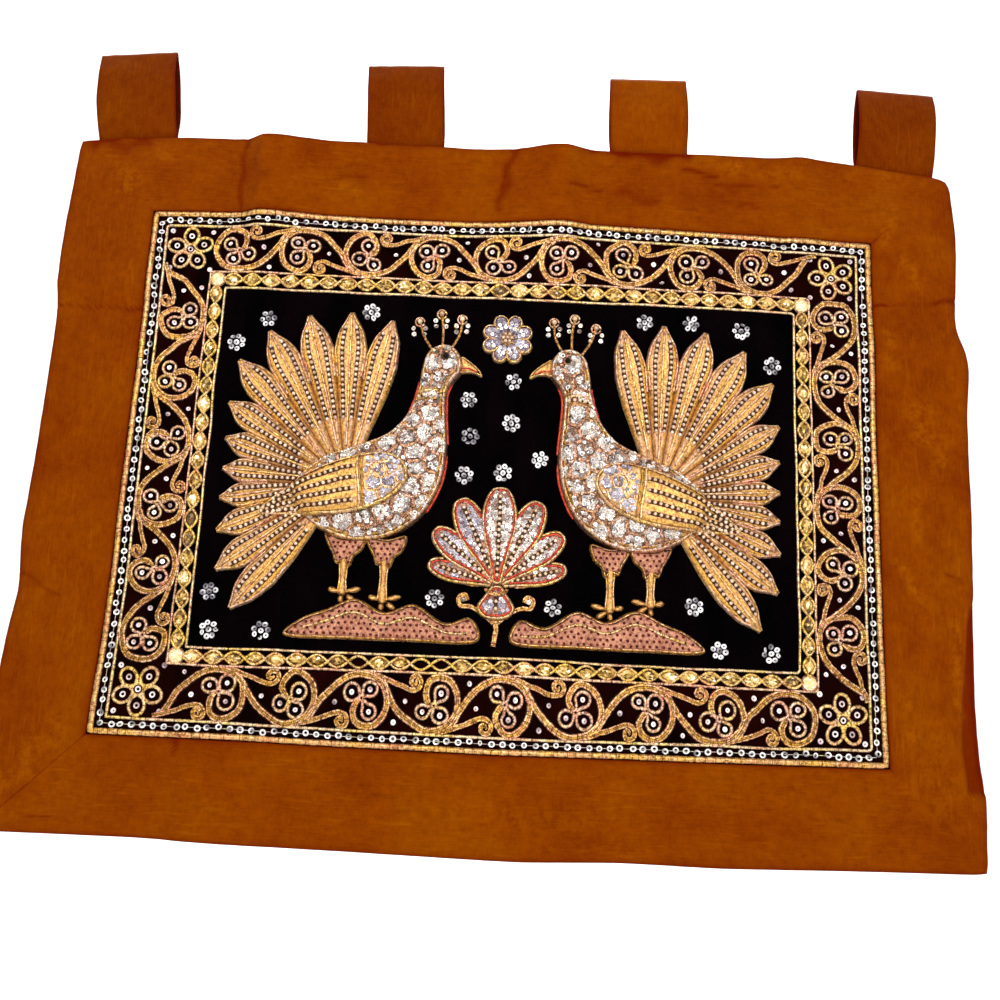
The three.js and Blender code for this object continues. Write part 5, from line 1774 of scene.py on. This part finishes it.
def make_bloom(finery):
    """The flower between the birds: overlapping padded petals of sequins, on a stem."""
    pads, batch = [], Batch("bloom_petals", PETAL_GROUND)
    for order, (turn, reach, wide) in enumerate(PETALS):
        high = 3.0 + 0.45 * order if turn > 0 else 5.6
        pad = Pad(resample(leaf_line(BLOOM_ROOT, turn, reach, wide), 1.5, True), high, 2.6)
        pad.add_to(batch, 2.2)
        pads.append(pad)
    batch.finish("beadwork", "bloom", fill=0.7)

    def top(x, z):
        return np.max([pad.height(x, z) for pad in pads], axis=0)

    for order, (pad, (turn, reach, _)) in enumerate(zip(pads, PETALS)):

        def free(x, z):
            """True where no petal in front covers this one."""
            seen = np.ones(np.shape(x), bool)
            for other in pads[order + 1:]:
                seen &= other.depth_inside(x, z) <= 0.3
            return seen

        # two cords round the part that shows, sequins on it, and beads along its middle line
        outline_cord(finery.pale, pad, 0.9, 1.9, 1.5, only=free, stitch=6)
        outline_cord(finery.red, pad, 2.7, 1.1, 0.9, only=free)
        ahead, aside = heading(turn)
        spots = scatter(pad, 2.5, 3.8, 0.3)
        spots = spots[free(*spots.T)]
        spots = spots[np.abs((spots - BLOOM_ROOT) @ aside) > 1.8]
        n = len(spots)
        far = np.hypot(*(spots - BLOOM_ROOT).T) / reach
        sizes, tilts = RANDOM.uniform(1.35, 1.6, n), RANDOM.normal(0, 0.2, (n, 2))
        tones = np.clip(0.9 - 0.8 * far + RANDOM.normal(0, 0.15, n), 0, 1)
        stamp(finery.lilac if order % 2 else finery.sequins, SEQUIN, spots, 0.35, sizes, 0.0, tilts, tones,
              pad.height)
        axis = BLOOM_ROOT + ahead * np.linspace(6, reach - 7, 50)[:, None]
        axis = axis[free(*axis.T)]
        if len(axis) > 4:
            bead_row(finery.beads, finery.gaps, axis, 3.6, 1.25, pad.height, lift=0.2)
    # the calyx, a stem and two curled leaves of doubled cord
    cord(finery.gold, arc(BLOOM_ROOT, 7, 200, 340, 16, flat=0.9), 2.6, 2.0, base=top, section=DOUBLE)
    cord(finery.gold, [(0, -93), (0.8, -100), (-0.6, -110)], 3.4, 1.9, section=DOUBLE, stitch=6)
    for side in (-1, 1):
        for shape in (BLOOM_CURL, BLOOM_LEAF):
            cord(finery.gold, curve(shape, side, False, 8), 3.0, 1.6, section=DOUBLE, stitch=6)
        stamp(finery.sequins, SEQUIN, mirrored([(20.3, -81.5), (26.4, -69.5)], side), 0.4, 1.7)
    return pads


def make_rosette(finery):
    """Eight lilac petals round a beaded heart."""
    pads, batch = [], Batch("rosette_petals", LILAC_GROUND)
    turns = 22.5 + 45 * np.arange(8)
    for turn in turns:
        petal = leaf_line(ROSETTE, turn, ROSETTE_REACH, ROSETTE_WIDE, 1.2)
        pad = Pad(resample(petal, 1.2, True), 3.4, 1.8)
        pad.add_to(batch, 1.7)
        pads.append(pad)
    heart = Pad(arc(ROSETTE, 4.6, 0, 345, 24), 4.4, 2.2)
    heart.add_to(batch, 1.6)
    batch.finish("lilac_sequins", "rosette", fill=0.7)

    def clear(x, z):
        return np.hypot(x - ROSETTE[0], z - ROSETTE[1]) > 6.6

    # each petal has a cord round it and five sequins
    for turn, pad in zip(turns, pads):
        outline_cord(finery.pale, pad, 0.4, 1.5, 1.3, only=clear)
        ahead, aside = heading(turn)
        for far, shifts in ((7.6, (-1.5, 1.5)), (10.2, (-1.5, 1.5)), (12.9, (0,))):
            spots = [ROSETTE + far * ahead + shift * aside for shift in shifts]
            stamp(finery.lilac, SEQUIN, spots, 0.4, 1.5, tilts=0.15, base=pad.height)
    cord(finery.gold, arc(ROSETTE, 4.4, 0, 345, 26), 1.6, 1.4, closed=True, base=heart.height)
    around = [ROSETTE + 2.6 * heading(turn)[0] for turn in range(0, 360, 60)]
    stamp(finery.beads, BEAD, around + [ROSETTE], [1.0] * 6 + [1.4], 1.3, base=heart.height)
    return pads


FLOWER_CLEAR, FLOWER_APART = 8, 23  # least distances to the figures and between two flowers


def make_field_flowers(figures):
    """Little flowers of ring sequins in the gaps between the figures."""
    places = []
    room = np.array([FIELD_X - 9, FIELD_Z - 8.5])
    for row, z in enumerate(np.linspace(-FIELD_Z + 9, FIELD_Z - 9, 19)):
        for x in np.arange(-FIELD_X + 11 + 5 * (row % 2), FIELD_X - 9, 10.5):
            spot = np.clip(np.array([x, z]) + RANDOM.uniform(-3.0, 3.0, 2), -room, room)
            clear = max(float(pad.depth_inside(*spot)) for pad in figures)
            apart = min([np.hypot(*(spot - p)) for p in places], default=math.inf)
            if clear < -FLOWER_CLEAR and apart > FLOWER_APART:
                places.append(spot)
    rings = Batch("field_flowers", WHITE_SEQUINS, smooth=False)
    for spot in places:
        count = int(RANDOM.integers(6, 8))
        start = RANDOM.uniform(*ANY_WAY)
        # the flower's own lightness, from which its rings vary
        whole = RANDOM.uniform(0.16, 0.72)
        reach = 3.9 if count == 6 else 4.3
        ring, outs = [spot], [0.5]
        for k in range(count):
            t = start + 2 * math.pi * k / count + RANDOM.normal(0, 0.05)
            ring.append(spot + (reach * math.cos(t), reach * math.sin(t)))
            outs.append(RANDOM.uniform(0.25, 0.6))
        n = count + 1
        sizes, turns = RANDOM.uniform(1.7, 2.0, n), RANDOM.uniform(*ANY_WAY, n)
        tilts = RANDOM.normal(0, 0.34, (n, 2))
        tones = np.clip(RANDOM.normal(whole, 0.3, n), 0, 1)
        stamp(rings, FLOWER_SEQUIN, ring, outs, sizes, turns, tilts, tones, glare=0.2)
    rings.finish("sequins")


# ----------------------------------------
# Floor, light and camera
def make_stage():
    """A floor that runs up into a backdrop far behind."""
    low, far, bend = MID_Z - 0.62, 3.4, 1.2
    turns = np.radians(np.linspace(0, 90, 25))
    bent = [(far - bend + bend * math.sin(t), low + bend - bend * math.cos(t)) for t in turns]
    profile = [(-4.0, low), *bent, (far, 6.0)]
    points = [(x, y, z) for y, z in profile for x in (-6.0, 6.0)]
    faces = [(2 * i, 2 * i + 1, 2 * i + 3, 2 * i + 2) for i in range(len(profile) - 1)]
    mesh = bpy.data.meshes.new("floor")
    mesh.from_pydata(points, [], faces)
    mesh.polygons.foreach_set("use_smooth", [True] * len(faces))
    mesh.materials.append(FLOOR)
    floor = bpy.data.objects.new("floor", mesh)
    bpy.context.scene.collection.objects.link(floor)


MIDDLE = (0, FRONT_Y, MID_Z)
# name, place, aim, size, power, colour; in metres and watts
LIGHTS = [
    ("key_light", (-0.9, -1.5, 0.9), MIDDLE, 0.9, 17, (1.0, 0.97, 0.93)),
    ("fill_light", (1.4, -1.3, 0.1), MIDDLE, 1.2, 7, (0.95, 0.97, 1.0)),
    ("flash_light", (0.1, -1.0, -0.05), MIDDLE, 0.05, 5, (1.0, 0.98, 0.95)),
    ("backdrop_light", (0.0, 0.9, 2.6), (0, 3.6, 0.4), 2.5, 160, WHITE),
    ("back_light", (0.6, 1.4, 0.8), MIDDLE, 1.4, 8, WHITE),
]


def make_light():
    """Soft studio lamps, and a sky that is brighter on one side."""
    for name, place, aim, size, power, colour in LIGHTS:
        light = bpy.data.lights.new(name, "AREA")
        light.shape = "DISK"
        light.size, light.energy, light.color = size, power, colour
        lamp = bpy.data.objects.new(name, light)
        lamp.location = place
        lamp.rotation_euler = (Vector(aim) - Vector(place)).to_track_quat("-Z", "Y").to_euler()
        bpy.context.scene.collection.objects.link(lamp)
    world = bpy.data.worlds.new("studio")
    bpy.context.scene.world = world
    world.use_nodes = True
    nodes, links = world.node_tree.nodes, world.node_tree.links
    where = nodes.new("ShaderNodeTexCoord")
    parts = nodes.new("ShaderNodeSeparateXYZ")
    # the sky is dim on the camera's side and brighter behind the hanging
    ramp = nodes.new("ShaderNodeMapRange")
    for socket, value in (("From Min", -0.35), ("From Max", 0.35), ("To Min", 0.5), ("To Max", 1.1)):
        ramp.inputs[socket].default_value = value
    links.new(where.outputs["Generated"], parts.inputs[0])
    links.new(parts.outputs[1], ramp.inputs[0])
    links.new(ramp.outputs[0], nodes["Background"].inputs["Strength"])
    nodes["Background"].inputs["Color"].default_value = (1.0, 1.0, 1.0, 1)


def make_camera():
    """The photograph's own view: from below the middle, looking up, and rolled a little."""
    camera = bpy.data.cameras.new("camera")
    camera.lens, camera.sensor_width = 36, 36
    camera.clip_start = 0.01
    eye = bpy.data.objects.new("camera", camera)
    forward = Vector((0.00136, 0.97690, 0.21371))
    up = Vector((-0.04496, -0.21344, 0.97592))
    right = forward.cross(up)
    turn = Matrix((right, up, -forward)).transposed()
    place = Vector((-0.00109, FRONT_Y - 0.61453, MID_Z - 0.15117))
    eye.matrix_world = Matrix.Translation(place) @ turn.to_4x4()
    bpy.context.scene.collection.objects.link(eye)
    bpy.context.scene.camera = eye
    bpy.context.scene.view_settings.view_transform = "Standard"


make_panel()
for strip_side in ("top", "bottom"):
    make_strip(strip_side, SILK_LEVEL)
for strip_side in ("left", "right"):
    make_strip(strip_side, SILK_UPRIGHT)
for tab_name, tab_shape in TABS.items():
    make_tab(tab_name, *tab_shape)
make_frames()
make_sequin_row()
make_scrolls()
make_gem_band()

figure_pads = []
for bird_side, bird in ((1, "bird_right"), (-1, "bird_left")):
    trim = Finery(bird)
    tail_pads = make_tail(bird_side, bird, trim)
    body_pad = make_body(bird_side, bird, trim)
    wing_pad = make_wing(bird_side, bird, trim, body_pad)
    make_legs(bird_side, bird, trim)
    bank_pad = make_bank(bird_side, bird, trim)
    trim.finish()
    rooms = [Pad(mirrored(room, bird_side)) for room in (LEG_ROOM, HEAD_ROOM)]
    figure_pads += tail_pads + [body_pad, wing_pad, bank_pad, *rooms]
middle_trim = Finery("middle")
figure_pads += make_bloom(middle_trim)
figure_pads += make_rosette(middle_trim)
middle_trim.finish()
make_field_flowers(figure_pads + [Pad(STEM_ROOM)])

make_stage()
make_light()
make_camera()
